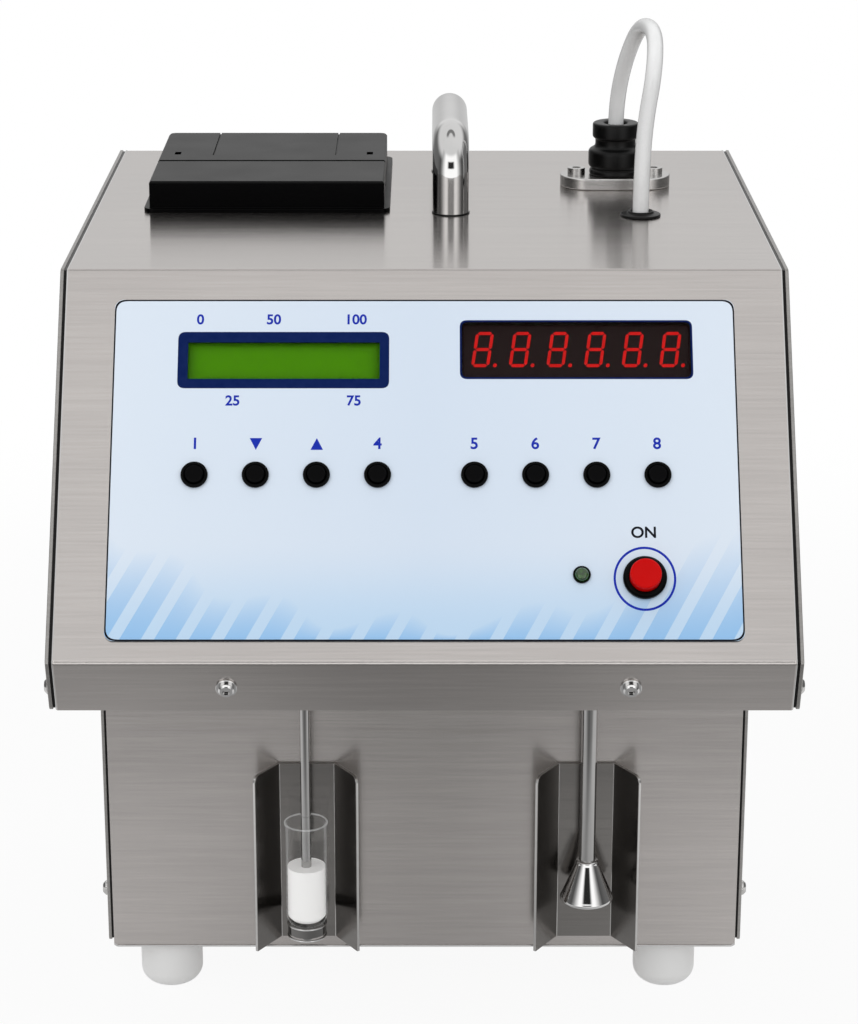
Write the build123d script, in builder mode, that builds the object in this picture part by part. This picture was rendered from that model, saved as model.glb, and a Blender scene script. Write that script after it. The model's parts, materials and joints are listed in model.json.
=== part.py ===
"""Bench milk analyzer in bent stainless sheet.

A wide head leans back over a set-back lower box, which leaves room for a sample
vial and a stirring cup under it. Millimetres, +Z up, the front faces -Y.
The origin lies on the bench, in the middle of the footprint.
"""

from build123d import *

import os
from math import hypot, pi, radians, tan

os.makedirs("parts", exist_ok=True)

# Cabinet
body_width = 250.0
top_depth = 211.4
slope_run = 82.0
slope_rise = 113.3
lip_height = 19.3
lip_setback = 6.7
neck_height = 159.5
neck_depth = 142.5
foot_height = 21.5
foot_radius = 12.3

# Sheet metal
sheet = 1.2
plate_sheet = 1.2
gasket_thickness = 0.8
bend_radius = 2.2
edge_radius = 1.0
plate_lift = 2.8
flange_depth = 12.0
rear_flange_height = 12.0
seam = 0.3
touch_gap = 0.05
cut_overrun = 5.0

# Front panel
overlay_width = 211.4
overlay_height = 120.8
overlay_thickness = 0.8
overlay_start = 11.6
overlay_corner = 3.0
lcd_width = 65.2
lcd_height = 13.2
lcd_x = -47.8
lcd_drop = 33.8
digits_width = 79.1
digits_height = 21.3
digits_x = 51.8
digits_drop = 29.8
digit_pitch = 12.76
digit_height = 13.0
key_pitch = 20.5
key_drop = 74.8
left_keys_x = -46.5
right_keys_x = 47.5
keys_per_side = 4
key_bezel_radius = 4.45
key_cap_radius = 3.25
key_travel = 0.8
push_x = 73.1
push_drop = 110.8
push_bezel_radius = 7.3
push_cap_radius = 5.25
push_travel = 2.5
lamp_x = 52.2
lamp_drop = 109.7
lamp_radius = 2.5

# Things on top
handle_x = 9.8
handle_setback = 90.45
handle_radius = 6.75
handle_span = 76.0
handle_height = 33.1
printer_x = -58.75
printer_setback = 91.65
printer_width = 87.5
printer_depth = 95.8
printer_height = 10.0
outlet_x = 73.9
outlet_setback = 140.5
inlet_x = 80.1
inlet_setback = 84.95
hose_radius = 3.0

# Things under the head
station_reach = 15.4
sample_x = -45.7
stirrer_x = 62.9
station_back_width = 22.6
station_mouth_width = 40.8
station_depth = 14.2
station_height = 74.0
station_lift = 5.5

# Rear
port_projection = 5.5

# Levels and stations worked out from the sizes above
head_depth = slope_run + top_depth
y_back = (head_depth - port_projection) / 2
y_front = y_back - head_depth
y_top_fold = y_front + slope_run
y_lip_bottom = y_front + lip_setback
y_neck = y_back - neck_depth
y_flange = y_back - sheet
y_station = y_neck - station_reach
z_floor = foot_height
z_under = z_floor + neck_height
z_lip_fold = z_under + lip_height
z_top = z_lip_fold + slope_rise
z_deck = z_under + sheet
cover_half = body_width / 2 - plate_sheet - gasket_thickness
cover_inner_half = cover_half - sheet
lip_length = hypot(lip_height, lip_setback)

# Planes that the pieces are drawn on
slope_plane = Plane(
    origin=(0, y_top_fold, z_top),
    x_dir=(1, 0, 0),
    z_dir=(0, -slope_rise, slope_run),
)
lip_plane = Plane(
    origin=(0, y_front, z_lip_fold),
    x_dir=(1, 0, 0),
    z_dir=(0, -lip_height, -lip_setback),
)
top_plane = Plane.XY.offset(z_top)
deck_plane = Plane.XY.offset(z_deck)
rear_plane = Plane(origin=(0, y_back, 0), x_dir=(-1, 0, 0), z_dir=(0, 1, 0))

key_places = [
    (group_x + (index - (keys_per_side - 1) / 2) * key_pitch, -key_drop)
    for group_x in (left_keys_x, right_keys_x)
    for index in range(keys_per_side)
]

# Side outline of the cabinet, from the rear top corner round to the rear bottom corner
side_corners = [
    (y_back, z_top),
    (y_top_fold, z_top),
    (y_front, z_lip_fold),
    (y_lip_bottom, z_under),
    (y_neck, z_under),
    (y_neck, z_floor + plate_lift),
    (y_back, z_floor + plate_lift),
]


def draw_strip(corners, depth, side=Side.LEFT, radius=bend_radius):
    """Closed strip of one depth along the inside of a bent line, in the open sketch."""
    with BuildLine() as outline:
        FilletPolyline(*corners, radius=radius)
        offset(amount=depth, side=side, closed=True)
    make_face(outline.edges())


def draw_side(inset, mode=Mode.ADD):
    """The cabinet's side outline, drawn in by an inset, in the open sketch."""
    with BuildLine() as outline:
        FilletPolyline(*side_corners, radius=bend_radius, close=True)
        if inset:
            offset(amount=-inset, mode=Mode.REPLACE)
    make_face(outline.edges(), mode=mode)


def turning_plane(x, y, z):
    """Upright plane through a piece's own axis, for an outline that is turned about it."""
    return Plane(origin=(x, y, z), x_dir=(1, 0, 0), z_dir=(0, -1, 0))


def turning_axis(x, y, z):
    """Upright axis of a turned piece."""
    return Axis((x, y, z), (0, 0, 1))


def finish(builder, name):
    """Label a finished piece and write its STEP file."""
    builder.part.label = name
    export_step(builder.part, f"parts/{name}.step")


# Fasteners
screw_shank_radius = 1.5
screw_hole_radius = 1.7
dome_radius = 2.9
dome_height = 2.2
dome_chamfer = 1.1
dome_shank_length = 6.0
side_screw_inset = 6.0
lip_screw_inset = 7.0
lower_screw_rise = 23.2
rear_screw_rise = 40.0
side_screw_places = [
    (y_lip_bottom + lip_screw_inset, z_under + side_screw_inset),
    (y_neck + side_screw_inset, z_floor + lower_screw_rise),
    (y_flange - side_screw_inset, z_floor + rear_screw_rise),
    (y_flange - side_screw_inset, z_top - rear_screw_rise),
]
rear_screw_spacing = body_width - rear_screw_rise
rear_screw_places = [
    (side * rear_screw_spacing / 2, level)
    for side in (-1, 1)
    for level in (
        z_floor + rear_flange_height * 2 / 3,
        z_top - rear_flange_height * 2 / 3,
    )
]
rear_panel_face = Plane(origin=(0, y_back, 0), x_dir=(1, 0, 0), z_dir=(0, -1, 0))

lip_screw_spacing = 134.0
lip_screw_shift = 1.4
lip_screw_drop = 10.4
lip_head_radius = 2.7
lip_head_height = 1.7
lip_washer_radius = 3.6
lip_washer_thickness = 0.8
lip_head_chamfer = 0.6
lip_shank_length = 7.0
hex_share = 0.5
lip_screw_places = [
    (lip_screw_shift - lip_screw_spacing / 2, -lip_screw_drop),
    (lip_screw_shift + lip_screw_spacing / 2, -lip_screw_drop),
]

socket_head_radius = 3.4
socket_head_height = 2.4
socket_shank_radius = 2.0
socket_hole_radius = 2.2
socket_shank_length = 9.0

# Outlet flange and hose inlet places on the top
outlet_plate_length = 42.5
outlet_plate_width = 22.0
outlet_plate_thickness = 4.5
outlet_screw_spacing = 30.0
outlet_place = (outlet_x, y_top_fold + outlet_setback)
inlet_place = (inlet_x, y_top_fold + inlet_setback)
outlet_screw_places = [
    (outlet_x - outlet_screw_spacing / 2, outlet_place[1]),
    (outlet_x + outlet_screw_spacing / 2, outlet_place[1]),
]
stopper_spigot_radius = 6.0
grommet_flange_radius = 7.45
grommet_neck_radius = 5.2
handle_feet = [
    (handle_x, y_top_fold + handle_setback),
    (handle_x, y_top_fold + handle_setback + handle_span),
]

# Printer places
printer_front = y_top_fold + printer_setback
printer_middle = printer_front + printer_depth / 2
printer_bay_wall = 2.0
printer_flange_lip = 2.1
printer_flange_thickness = 1.5
printer_slot = 1.2
printer_block_depth = 38.5
bay_half_width = 29.6
bay_depth = 30.0
bay_back_gap = 9.0
case_half_width = 36.0
lid_front = printer_front + printer_block_depth + printer_slot
lid_back = printer_front + printer_depth
bay_front = lid_front + 1.5 * printer_bay_wall
bay_back = lid_back - bay_back_gap

# Top cover: rear flange, top, leaning front and lip bent from one sheet
upturn_height = 15.0
cover_corners = [
    (y_flange, z_top - rear_flange_height),
    (y_flange, z_top),
    (y_top_fold, z_top),
    (y_front, z_lip_fold),
    (y_lip_bottom, z_under),
]
cover_flange_corners = [
    (y_flange - flange_depth - seam, z_top),
    (y_top_fold, z_top),
    (y_front, z_lip_fold),
    (y_lip_bottom, z_under),
]
window_margin = 0.5
key_barrel_radius = 3.9
key_hole_radius = 4.0
push_barrel_radius = 5.9
push_hole_radius = 6.0
lamp_clip_radius = 2.95
lamp_barrel_radius = 2.8
lamp_hole_radius = 2.88

with BuildLine(Plane.YZ) as cover_line:
    FilletPolyline(*cover_corners[1:], radius=bend_radius)

with BuildPart() as top_cover:
    with BuildSketch(Plane.YZ):
        draw_strip(cover_corners, sheet)
    extrude(amount=cover_half, both=True)
    for flange_plane in (Plane.YZ.offset(-cover_half), Plane.YZ.offset(cover_inner_half)):
        with BuildSketch(flange_plane):
            draw_strip(cover_flange_corners, flange_depth)
        extrude(amount=sheet)
    rim = top_cover.edges().filter_by(
        lambda edge: abs(abs((edge @ 0.5).X) - cover_half) < touch_gap
        and cover_line.line.distance_to(Vertex(0, (edge @ 0.5).Y, (edge @ 0.5).Z)) < touch_gap
    )
    fillet(rim, radius=edge_radius)
    with BuildSketch(slope_plane):
        with Locations((lcd_x, -lcd_drop)):
            Rectangle(lcd_width + 2 * window_margin, lcd_height + 2 * window_margin)
        with Locations((digits_x, -digits_drop)):
            Rectangle(digits_width, digits_height)
        with Locations(*key_places):
            Circle(key_hole_radius)
        with Locations((push_x, -push_drop)):
            Circle(push_hole_radius)
        with Locations((lamp_x, -lamp_drop)):
            Circle(lamp_hole_radius)
    extrude(amount=cut_overrun, both=True, mode=Mode.SUBTRACT)
    with BuildSketch(top_plane):
        with Locations((printer_x, printer_middle)):
            Rectangle(2 * (case_half_width + seam), printer_depth - 4 * printer_bay_wall + 2 * seam)
        with Locations(outlet_place):
            Circle(stopper_spigot_radius + seam)
        with Locations(inlet_place):
            Circle(grommet_neck_radius + touch_gap)
        with Locations(*handle_feet):
            Circle(socket_hole_radius)
        with Locations(*outlet_screw_places):
            Circle(socket_hole_radius)
    extrude(amount=cut_overrun, both=True, mode=Mode.SUBTRACT)
    with BuildSketch(lip_plane):
        with Locations(*lip_screw_places):
            Circle(screw_hole_radius)
    extrude(amount=cut_overrun, both=True, mode=Mode.SUBTRACT)
    with BuildSketch(Plane.YZ):
        with Locations(side_screw_places[0]):
            Circle(screw_hole_radius)
    extrude(amount=body_width, both=True, mode=Mode.SUBTRACT)
    with BuildSketch(rear_panel_face):
        with Locations(*rear_screw_places[1::2]):
            Circle(screw_hole_radius)
    extrude(amount=cut_overrun, mode=Mode.SUBTRACT)

# Base chassis: upturn behind the lip, head floor, neck front, box floor and rear upturn
upturn_inset = (sheet + touch_gap) * lip_length / lip_height
chassis_corners = [
    (
        y_lip_bottom + upturn_inset - upturn_height * lip_setback / lip_height,
        z_under + upturn_height,
    ),
    (y_lip_bottom + upturn_inset, z_under),
    (y_neck, z_under),
    (y_neck, z_floor),
    (y_flange, z_floor),
    (y_flange, z_floor + rear_flange_height),
]
chassis_flange_corners = [
    (y_lip_bottom + flange_depth + seam, z_under),
    (y_neck, z_under),
    (y_neck, z_floor),
    (y_flange - flange_depth - seam, z_floor),
]
foot_inset = 16.6
foot_spacing_x = 198.0
foot_shift = -2.7
foot_spacing_y = neck_depth - 2 * foot_inset
foot_middle_y = y_neck + neck_depth / 2
sample_tube_radius = 2.0
stirrer_rod_radius = 3.1
stirrer_hole_radius = 3.6

with BuildPart() as base_chassis:
    with BuildSketch(Plane.YZ):
        draw_strip(chassis_corners, sheet)
    extrude(amount=cover_half, both=True)
    for flange_plane in (Plane.YZ.offset(-cover_half), Plane.YZ.offset(cover_inner_half)):
        with BuildSketch(flange_plane):
            draw_strip(chassis_flange_corners, flange_depth)
        extrude(amount=sheet)
    with BuildSketch(Plane.XY.offset(z_under - cut_overrun)):
        for side in (-1, 1):
            with Locations((side * (cover_inner_half - seam), y_lip_bottom - cut_overrun)):
                Rectangle(
                    flange_depth,
                    flange_depth + cut_overrun + seam,
                    align=(Align.MIN if side > 0 else Align.MAX, Align.MIN),
                )
    extrude(amount=upturn_height + 2 * cut_overrun, mode=Mode.SUBTRACT)
    with BuildSketch(deck_plane):
        with Locations((sample_x, y_station)):
            Circle(sample_tube_radius + seam)
        with Locations((stirrer_x, y_station)):
            Circle(stirrer_hole_radius)
    extrude(amount=cut_overrun, both=True, mode=Mode.SUBTRACT)
    with BuildSketch(lip_plane):
        with Locations(*lip_screw_places):
            Circle(screw_hole_radius)
    extrude(amount=cut_overrun, both=True, mode=Mode.SUBTRACT)
    with BuildSketch(Plane.YZ):
        with Locations(side_screw_places[1]):
            Circle(screw_hole_radius)
    extrude(amount=body_width, both=True, mode=Mode.SUBTRACT)
    with BuildSketch(rear_panel_face):
        with Locations(*rear_screw_places[0::2]):
            Circle(screw_hole_radius)
    extrude(amount=cut_overrun, mode=Mode.SUBTRACT)

# Rear panel: flat back with bent sides, vents, and cut-outs for the inlet and the port
panel_bottom = z_floor + bend_radius
panel_top = z_top - bend_radius
panel_height = panel_top - panel_bottom
panel_flange_bottom = z_floor + rear_flange_height + seam
panel_flange_top = z_top - rear_flange_height - seam
vent_width = 3.0
vent_length = 46.0
vent_pitch = 7.0
vent_count = 9
vent_group_x = 55.0
vent_drop = 52.0
vent_level = z_top - vent_drop
power_x = 70.0
power_level = 62.0
power_cut_width = 27.0
power_cut_height = 46.0
port_x = -62.0
port_level = 62.0
port_plate_width = 31.0
port_plate_height = 12.6
port_shell_width = 17.4
port_shell_height = 8.6

with BuildPart() as rear_panel:
    with BuildSketch(rear_plane.offset(-sheet)):
        with Locations((0, panel_bottom + panel_height / 2)):
            Rectangle(2 * cover_half, panel_height)
    extrude(amount=sheet)
    for side in (-1, 1):
        with BuildSketch(Plane.XY.offset(panel_flange_bottom)):
            with Locations((side * cover_half, y_back)):
                Rectangle(
                    sheet,
                    flange_depth,
                    align=(Align.MAX if side > 0 else Align.MIN, Align.MAX),
                )
        extrude(amount=panel_flange_top - panel_flange_bottom)
    panel_corners = rear_panel.edges().filter_by(Axis.Z).filter_by(
        lambda edge: abs(abs(edge.center().X) - cover_half) < touch_gap
        and edge.center().Y > y_back - touch_gap
    )
    fillet(panel_corners, radius=edge_radius)
    with BuildSketch(rear_plane):
        for group_x in (-vent_group_x, vent_group_x):
            with Locations((group_x, vent_level)):
                with GridLocations(vent_pitch, vent_length, vent_count, 1):
                    SlotOverall(vent_length, vent_width, rotation=90)
        with Locations((power_x, power_level)):
            Rectangle(power_cut_width + 2 * seam, power_cut_height + 2 * seam)
        with Locations((port_x, port_level)):
            Rectangle(port_shell_width + 2 * seam, port_shell_height + 2 * seam)
        with Locations(*rear_screw_places):
            Circle(screw_hole_radius)
    extrude(amount=cut_overrun, both=True, mode=Mode.SUBTRACT)
    with BuildSketch(Plane.YZ):
        with Locations(*side_screw_places[2:]):
            Circle(screw_hole_radius)
    extrude(amount=body_width, both=True, mode=Mode.SUBTRACT)

# Side plates: one flat plate covers the head and the lower box on each side
with BuildPart() as left_side_plate:
    with BuildSketch(Plane.YZ.offset(-body_width / 2)):
        draw_side(0)
        with Locations(*side_screw_places):
            Circle(screw_hole_radius, mode=Mode.SUBTRACT)
    extrude(amount=plate_sheet)

with BuildPart() as right_side_plate:
    with BuildSketch(Plane.YZ.offset(body_width / 2 - plate_sheet)):
        draw_side(0)
        with Locations(*side_screw_places):
            Circle(screw_hole_radius, mode=Mode.SUBTRACT)
    extrude(amount=plate_sheet)

# Side gaskets: black strips between the plates and the bent edges
gasket_inset = 0.5
gasket_width = 9.5

with BuildPart() as side_gaskets:
    for gasket_plane in (
        Plane.YZ.offset(-cover_half - gasket_thickness),
        Plane.YZ.offset(cover_half),
    ):
        with BuildSketch(gasket_plane):
            draw_side(gasket_inset)
            draw_side(gasket_inset + gasket_width, mode=Mode.SUBTRACT)
            with Locations(*side_screw_places):
                Circle(screw_hole_radius, mode=Mode.SUBTRACT)
        extrude(amount=gasket_thickness)

# Case screws: domed heads on the side plates and the rear panel
with BuildPart() as dome_screw:
    Cylinder(
        dome_radius,
        dome_height,
        align=(Align.CENTER, Align.CENTER, Align.MIN),
    )
    chamfer(dome_screw.edges().sort_by(Axis.Z)[-1], length=dome_chamfer)
    Cylinder(
        screw_shank_radius,
        dome_shank_length,
        align=(Align.CENTER, Align.CENTER, Align.MAX),
    )

screw_planes = []
for y, z in side_screw_places:
    screw_planes.append(
        Plane(origin=(-body_width / 2, y, z), x_dir=(0, 1, 0), z_dir=(-1, 0, 0))
    )
    screw_planes.append(
        Plane(origin=(body_width / 2, y, z), x_dir=(0, 1, 0), z_dir=(1, 0, 0))
    )
for x, z in rear_screw_places:
    screw_planes.append(
        Plane(origin=(x, y_back, z), x_dir=(1, 0, 0), z_dir=(0, 1, 0))
    )

with BuildPart() as case_screws:
    with Locations(*screw_planes):
        add(dome_screw.part)

# Lip washers and lip screws
with BuildPart() as lip_washers:
    with BuildSketch(lip_plane):
        with Locations(*lip_screw_places):
            Circle(lip_washer_radius)
            Circle(screw_hole_radius, mode=Mode.SUBTRACT)
    extrude(amount=lip_washer_thickness)

with BuildPart() as lip_screws:
    with BuildSketch(lip_plane.offset(lip_washer_thickness)):
        with Locations(*lip_screw_places):
            Circle(lip_head_radius)
    extrude(amount=lip_head_height)
    head_faces = lip_screws.faces().group_by(Axis(lip_plane.origin, lip_plane.z_dir))[-1]
    chamfer(head_faces.edges(), length=lip_head_chamfer)
    with BuildSketch(lip_plane.offset(lip_washer_thickness)):
        with Locations(*lip_screw_places):
            Circle(screw_shank_radius)
    extrude(amount=-lip_shank_length)
    with BuildSketch(lip_plane.offset(lip_washer_thickness + lip_head_height)):
        with Locations(*lip_screw_places):
            RegularPolygon(lip_head_radius * hex_share, 6)
    extrude(amount=-lip_head_height / 2, mode=Mode.SUBTRACT)

# Front overlay: one thin panel over the leaning front, open at the windows and buttons
with BuildPart() as front_overlay:
    with BuildSketch(slope_plane):
        with Locations((0, -overlay_start - overlay_height / 2)):
            RectangleRounded(overlay_width, overlay_height, overlay_corner)
        with Locations((lcd_x, -lcd_drop)):
            Rectangle(lcd_width, lcd_height, mode=Mode.SUBTRACT)
        with Locations((digits_x, -digits_drop)):
            Rectangle(digits_width, digits_height, mode=Mode.SUBTRACT)
        with Locations(*key_places):
            Circle(key_hole_radius, mode=Mode.SUBTRACT)
        with Locations((push_x, -push_drop)):
            Circle(push_hole_radius, mode=Mode.SUBTRACT)
        with Locations((lamp_x, -lamp_drop)):
            Circle(lamp_hole_radius, mode=Mode.SUBTRACT)
    extrude(amount=overlay_thickness)

# Text display: clear pane in the overlay, green glass and its framed module behind
board_distance = 10.0
lcd_glass_margin = 2.0
lcd_glass_thickness = 1.6
lcd_module_margin = 8.0
board_face = slope_plane.offset(-sheet - board_distance)

with BuildPart() as lcd_window:
    with BuildSketch(slope_plane):
        with Locations((lcd_x, -lcd_drop)):
            Rectangle(lcd_width - 2 * touch_gap, lcd_height - 2 * touch_gap)
    extrude(amount=overlay_thickness)

with BuildPart() as lcd_module:
    with BuildSketch(board_face):
        with Locations((lcd_x, -lcd_drop)):
            Rectangle(lcd_width + 2 * lcd_module_margin, lcd_height + 2 * lcd_module_margin)
    extrude(amount=board_distance - touch_gap)
    with BuildSketch(slope_plane.offset(-sheet - touch_gap)):
        with Locations((lcd_x, -lcd_drop)):
            Rectangle(
                lcd_width + 2 * lcd_glass_margin,
                lcd_height + 2 * lcd_glass_margin,
            )
    extrude(amount=-lcd_glass_thickness, mode=Mode.SUBTRACT)

with BuildPart() as lcd_glass:
    with BuildSketch(slope_plane.offset(-sheet - touch_gap - lcd_glass_thickness)):
        with Locations((lcd_x, -lcd_drop)):
            Rectangle(
                lcd_width + 2 * lcd_glass_margin - 2 * touch_gap,
                lcd_height + 2 * lcd_glass_margin - 2 * touch_gap,
            )
    extrude(amount=lcd_glass_thickness)

# Number display: dark pane, six slanted digits and their module
digit_count = 6
digit_slant = 8.0
digit_stroke = 1.5
digit_aspect = 0.55
digit_relief = 0.25
dot_radius = 0.9
module_recess = 0.35
module_margin = 1.0

with BuildPart() as led_filter:
    with BuildSketch(slope_plane.offset(-sheet)):
        with Locations((digits_x, -digits_drop)):
            Rectangle(digits_width - 2 * touch_gap, digits_height - 2 * touch_gap)
    extrude(amount=sheet + overlay_thickness)

with BuildPart() as digit_display:
    with BuildSketch(board_face):
        with Locations((digits_x, -digits_drop)):
            Rectangle(digits_width - 2 * module_margin, digits_height - 2 * module_margin)
    extrude(amount=board_distance - module_recess)


def draw_digit(middle_x, middle_y):
    """Seven slanted bars and a dot of one digit, in the open sketch."""
    half_height = digit_height / 2 - digit_stroke / 2
    half_width = half_height * digit_aspect
    lean = tan(radians(digit_slant))
    tip = digit_stroke / 2
    bars = [((-1, level), (1, level)) for level in (-1, 0, 1)]
    bars += [((edge, low), (edge, low + 1)) for edge in (-1, 1) for low in (-1, 0)]
    for start, end in bars:
        x0, y0 = start[0] * half_width, start[1] * half_height
        x1, y1 = end[0] * half_width, end[1] * half_height
        across = y0 == y1
        cut = touch_gap
        if across:
            outline = [
                (x0 + cut, y0),
                (x0 + cut + tip, y0 + tip),
                (x1 - cut - tip, y0 + tip),
                (x1 - cut, y0),
                (x1 - cut - tip, y0 - tip),
                (x0 + cut + tip, y0 - tip),
            ]
        else:
            outline = [
                (x0, y0 + cut),
                (x0 - tip, y0 + cut + tip),
                (x0 - tip, y1 - cut - tip),
                (x0, y1 - cut),
                (x0 + tip, y1 - cut - tip),
                (x0 + tip, y0 + cut + tip),
            ]
        leaning = [(middle_x + x + y * lean, middle_y + y) for x, y in outline]
        with BuildLine() as bar:
            Polyline(*leaning, close=True)
        make_face(bar.edges())
    dot_x = middle_x + half_width + digit_stroke + dot_radius - half_height * lean
    with Locations((dot_x, middle_y - half_height)):
        Circle(dot_radius)


with BuildPart() as digit_segments:
    with BuildSketch(slope_plane.offset(-sheet - module_recess + touch_gap)):
        for index in range(digit_count):
            draw_digit(
                digits_x - digit_stroke / 2 + (index - (digit_count - 1) / 2) * digit_pitch,
                -digits_drop,
            )
    extrude(amount=digit_relief)

# Keys: a bezel in the panel and a cap that slides in it
key_bezel_height = 1.0
key_bore_radius = 3.4
key_barrel_drop = sheet + 2.0
key_proud = 1.9
key_drop_inside = sheet + 1.6
key_plunger_radius = 1.2
switch_height = 4.5
switch_size = 6.0
plunger_rest_gap = 0.1
key_crown = 0.5

with BuildPart() as key_bezels:
    with BuildSketch(slope_plane.offset(overlay_thickness)):
        with Locations(*key_places):
            Circle(key_bezel_radius)
            Circle(key_bore_radius, mode=Mode.SUBTRACT)
    extrude(amount=key_bezel_height)
    with BuildSketch(slope_plane.offset(overlay_thickness)):
        with Locations(*key_places):
            Circle(key_barrel_radius)
            Circle(key_bore_radius, mode=Mode.SUBTRACT)
    extrude(amount=-overlay_thickness - key_barrel_drop)

keys = []
for place in key_places:
    with BuildPart() as key:
        with BuildSketch(slope_plane.offset(-key_drop_inside)):
            with Locations(place):
                Circle(key_cap_radius)
        extrude(amount=key_drop_inside + overlay_thickness + key_proud)
        chamfer(
            key.faces().sort_by(Axis(slope_plane.origin, slope_plane.z_dir))[-1].edges(),
            length=key_crown,
        )
        with BuildSketch(slope_plane.offset(-key_drop_inside)):
            with Locations(place):
                Circle(key_plunger_radius)
        extrude(
            amount=-(
                sheet + board_distance - switch_height - key_travel
                - plunger_rest_gap - key_drop_inside
            )
        )
    keys.append(key)

# Push button: threaded barrel with a bezel, and the red cap that slides in it
push_bezel_height = 2.2
push_bezel_chamfer = 0.8
push_barrel_length = 18.0
push_bore_radius = 5.35
push_proud = 3.7
push_skirt = 6.0
push_spring_height = 3.5
push_bore_depth = push_skirt + push_travel + push_spring_height
push_nut_radius = 8.6
push_nut_height = 3.0
push_crown = 0.8

with BuildPart() as push_bezel:
    with BuildSketch(slope_plane.offset(overlay_thickness)):
        with Locations((push_x, -push_drop)):
            Circle(push_bezel_radius)
    extrude(amount=push_bezel_height)
    chamfer(
        push_bezel.faces().sort_by(Axis(slope_plane.origin, slope_plane.z_dir))[-1].edges(),
        length=push_bezel_chamfer,
    )
    with BuildSketch(slope_plane.offset(overlay_thickness)):
        with Locations((push_x, -push_drop)):
            Circle(push_barrel_radius)
    extrude(amount=-push_barrel_length)
    with BuildSketch(slope_plane.offset(-sheet)):
        with Locations((push_x, -push_drop)):
            RegularPolygon(push_nut_radius, 6)
    extrude(amount=-push_nut_height)
    with BuildSketch(slope_plane.offset(overlay_thickness + push_bezel_height)):
        with Locations((push_x, -push_drop)):
            Circle(push_bore_radius)
    extrude(amount=-push_bezel_height - push_bore_depth, mode=Mode.SUBTRACT)

with BuildPart() as push_cap:
    with BuildSketch(slope_plane.offset(overlay_thickness - push_skirt)):
        with Locations((push_x, -push_drop)):
            Circle(push_cap_radius)
    extrude(amount=push_skirt + push_bezel_height + push_proud)
    fillet(
        push_cap.faces().sort_by(Axis(slope_plane.origin, slope_plane.z_dir))[-1].edges(),
        radius=push_crown,
    )

# Indicator lamp: a green dome in a small clip
lamp_clip_height = 0.7
lamp_clip_drop = 4.0
lamp_tail = 6.0
lamp_proud = 1.4

with BuildPart() as lamp_clip:
    with BuildSketch(slope_plane.offset(overlay_thickness)):
        with Locations((lamp_x, -lamp_drop)):
            Circle(lamp_clip_radius)
            Circle(lamp_radius + touch_gap, mode=Mode.SUBTRACT)
    extrude(amount=lamp_clip_height)
    with BuildSketch(slope_plane.offset(overlay_thickness)):
        with Locations((lamp_x, -lamp_drop)):
            Circle(lamp_barrel_radius)
            Circle(lamp_radius + touch_gap, mode=Mode.SUBTRACT)
    extrude(amount=-lamp_clip_drop)

with BuildPart() as indicator_lamp:
    with BuildSketch(slope_plane.offset(overlay_thickness - lamp_tail)):
        with Locations((lamp_x, -lamp_drop)):
            Circle(lamp_radius)
    extrude(amount=lamp_tail + lamp_clip_height + lamp_proud)
    fillet(
        indicator_lamp.faces().sort_by(Axis(slope_plane.origin, slope_plane.z_dir))[-1].edges(),
        radius=lamp_proud,
    )

# Front board: carries the displays and the key switches on standoffs
board_thickness = 1.6
board_width = 206.0
board_height = 78.0
board_middle_drop = 50.0
standoff_radius = 2.5
standoff_inset = 5.0
board_standoff_places = [
    (side * (board_width / 2 - standoff_inset), level)
    for side in (-1, 1)
    for level in (
        -board_middle_drop - board_height / 2 + standoff_inset,
        -board_middle_drop + board_height / 2 - standoff_inset,
    )
]
main_board_width = 150.0
main_board_height = 70.0
main_board_level = 150.0
main_board_distance = 8.0
main_board_places = [
    (
        across * (main_board_width / 2 - standoff_inset),
        main_board_level + up * (main_board_height / 2 - standoff_inset),
    )
    for across in (-1, 1)
    for up in (-1, 1)
]

with BuildPart() as front_board:
    with BuildSketch(board_face.offset(-board_thickness)):
        with Locations((0, -board_middle_drop)):
            Rectangle(board_width, board_height)
    extrude(amount=board_thickness)
    with BuildSketch(board_face):
        with Locations(*key_places):
            Rectangle(switch_size, switch_size)
    extrude(amount=switch_height)

with BuildPart() as board_standoffs:
    with BuildSketch(board_face):
        with Locations(*board_standoff_places):
            Circle(standoff_radius)
    extrude(amount=board_distance)
    with BuildSketch(rear_plane.offset(-sheet)):
        with Locations(*main_board_places):
            Circle(standoff_radius)
    extrude(amount=-main_board_distance)

# Main board on the rear panel, with its chips and sockets
chip_height = 3.0
chip_place_shares = [(-0.28, 0.1), (0.02, 0.18), (0.3, -0.05)]
chip_size_shares = [(0.16, 0.26), (0.24, 0.2), (0.12, 0.3)]
socket_size_share = 0.08
socket_height = 9.0

with BuildPart() as main_board:
    with BuildSketch(rear_plane.offset(-sheet - main_board_distance)):
        with Locations((0, main_board_level)):
            Rectangle(main_board_width, main_board_height)
    extrude(amount=-board_thickness)
    with BuildSketch(rear_plane.offset(-sheet - main_board_distance - board_thickness)):
        for (across_share, up_share), (wide_share, tall_share) in zip(chip_place_shares, chip_size_shares):
            with Locations(
                (across_share * main_board_width, main_board_level + up_share * main_board_height)
            ):
                Rectangle(wide_share * main_board_width, tall_share * main_board_height)
    extrude(amount=-chip_height)
    with BuildSketch(rear_plane.offset(-sheet - main_board_distance - board_thickness)):
        with Locations((0, main_board_level - main_board_height / 3)):
            with GridLocations(main_board_width / 4, main_board_height, 3, 1):
                Rectangle(socket_size_share * main_board_width * 2, socket_size_share * main_board_width)
    extrude(amount=-socket_height)

# Power supply: a closed block on the box floor
supply_width = 96.0
supply_depth = 58.0
supply_height = 34.0
supply_side_gap = 15.8
supply_x = -(cover_inner_half - supply_side_gap - supply_width / 2)
supply_round = 2.0

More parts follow.
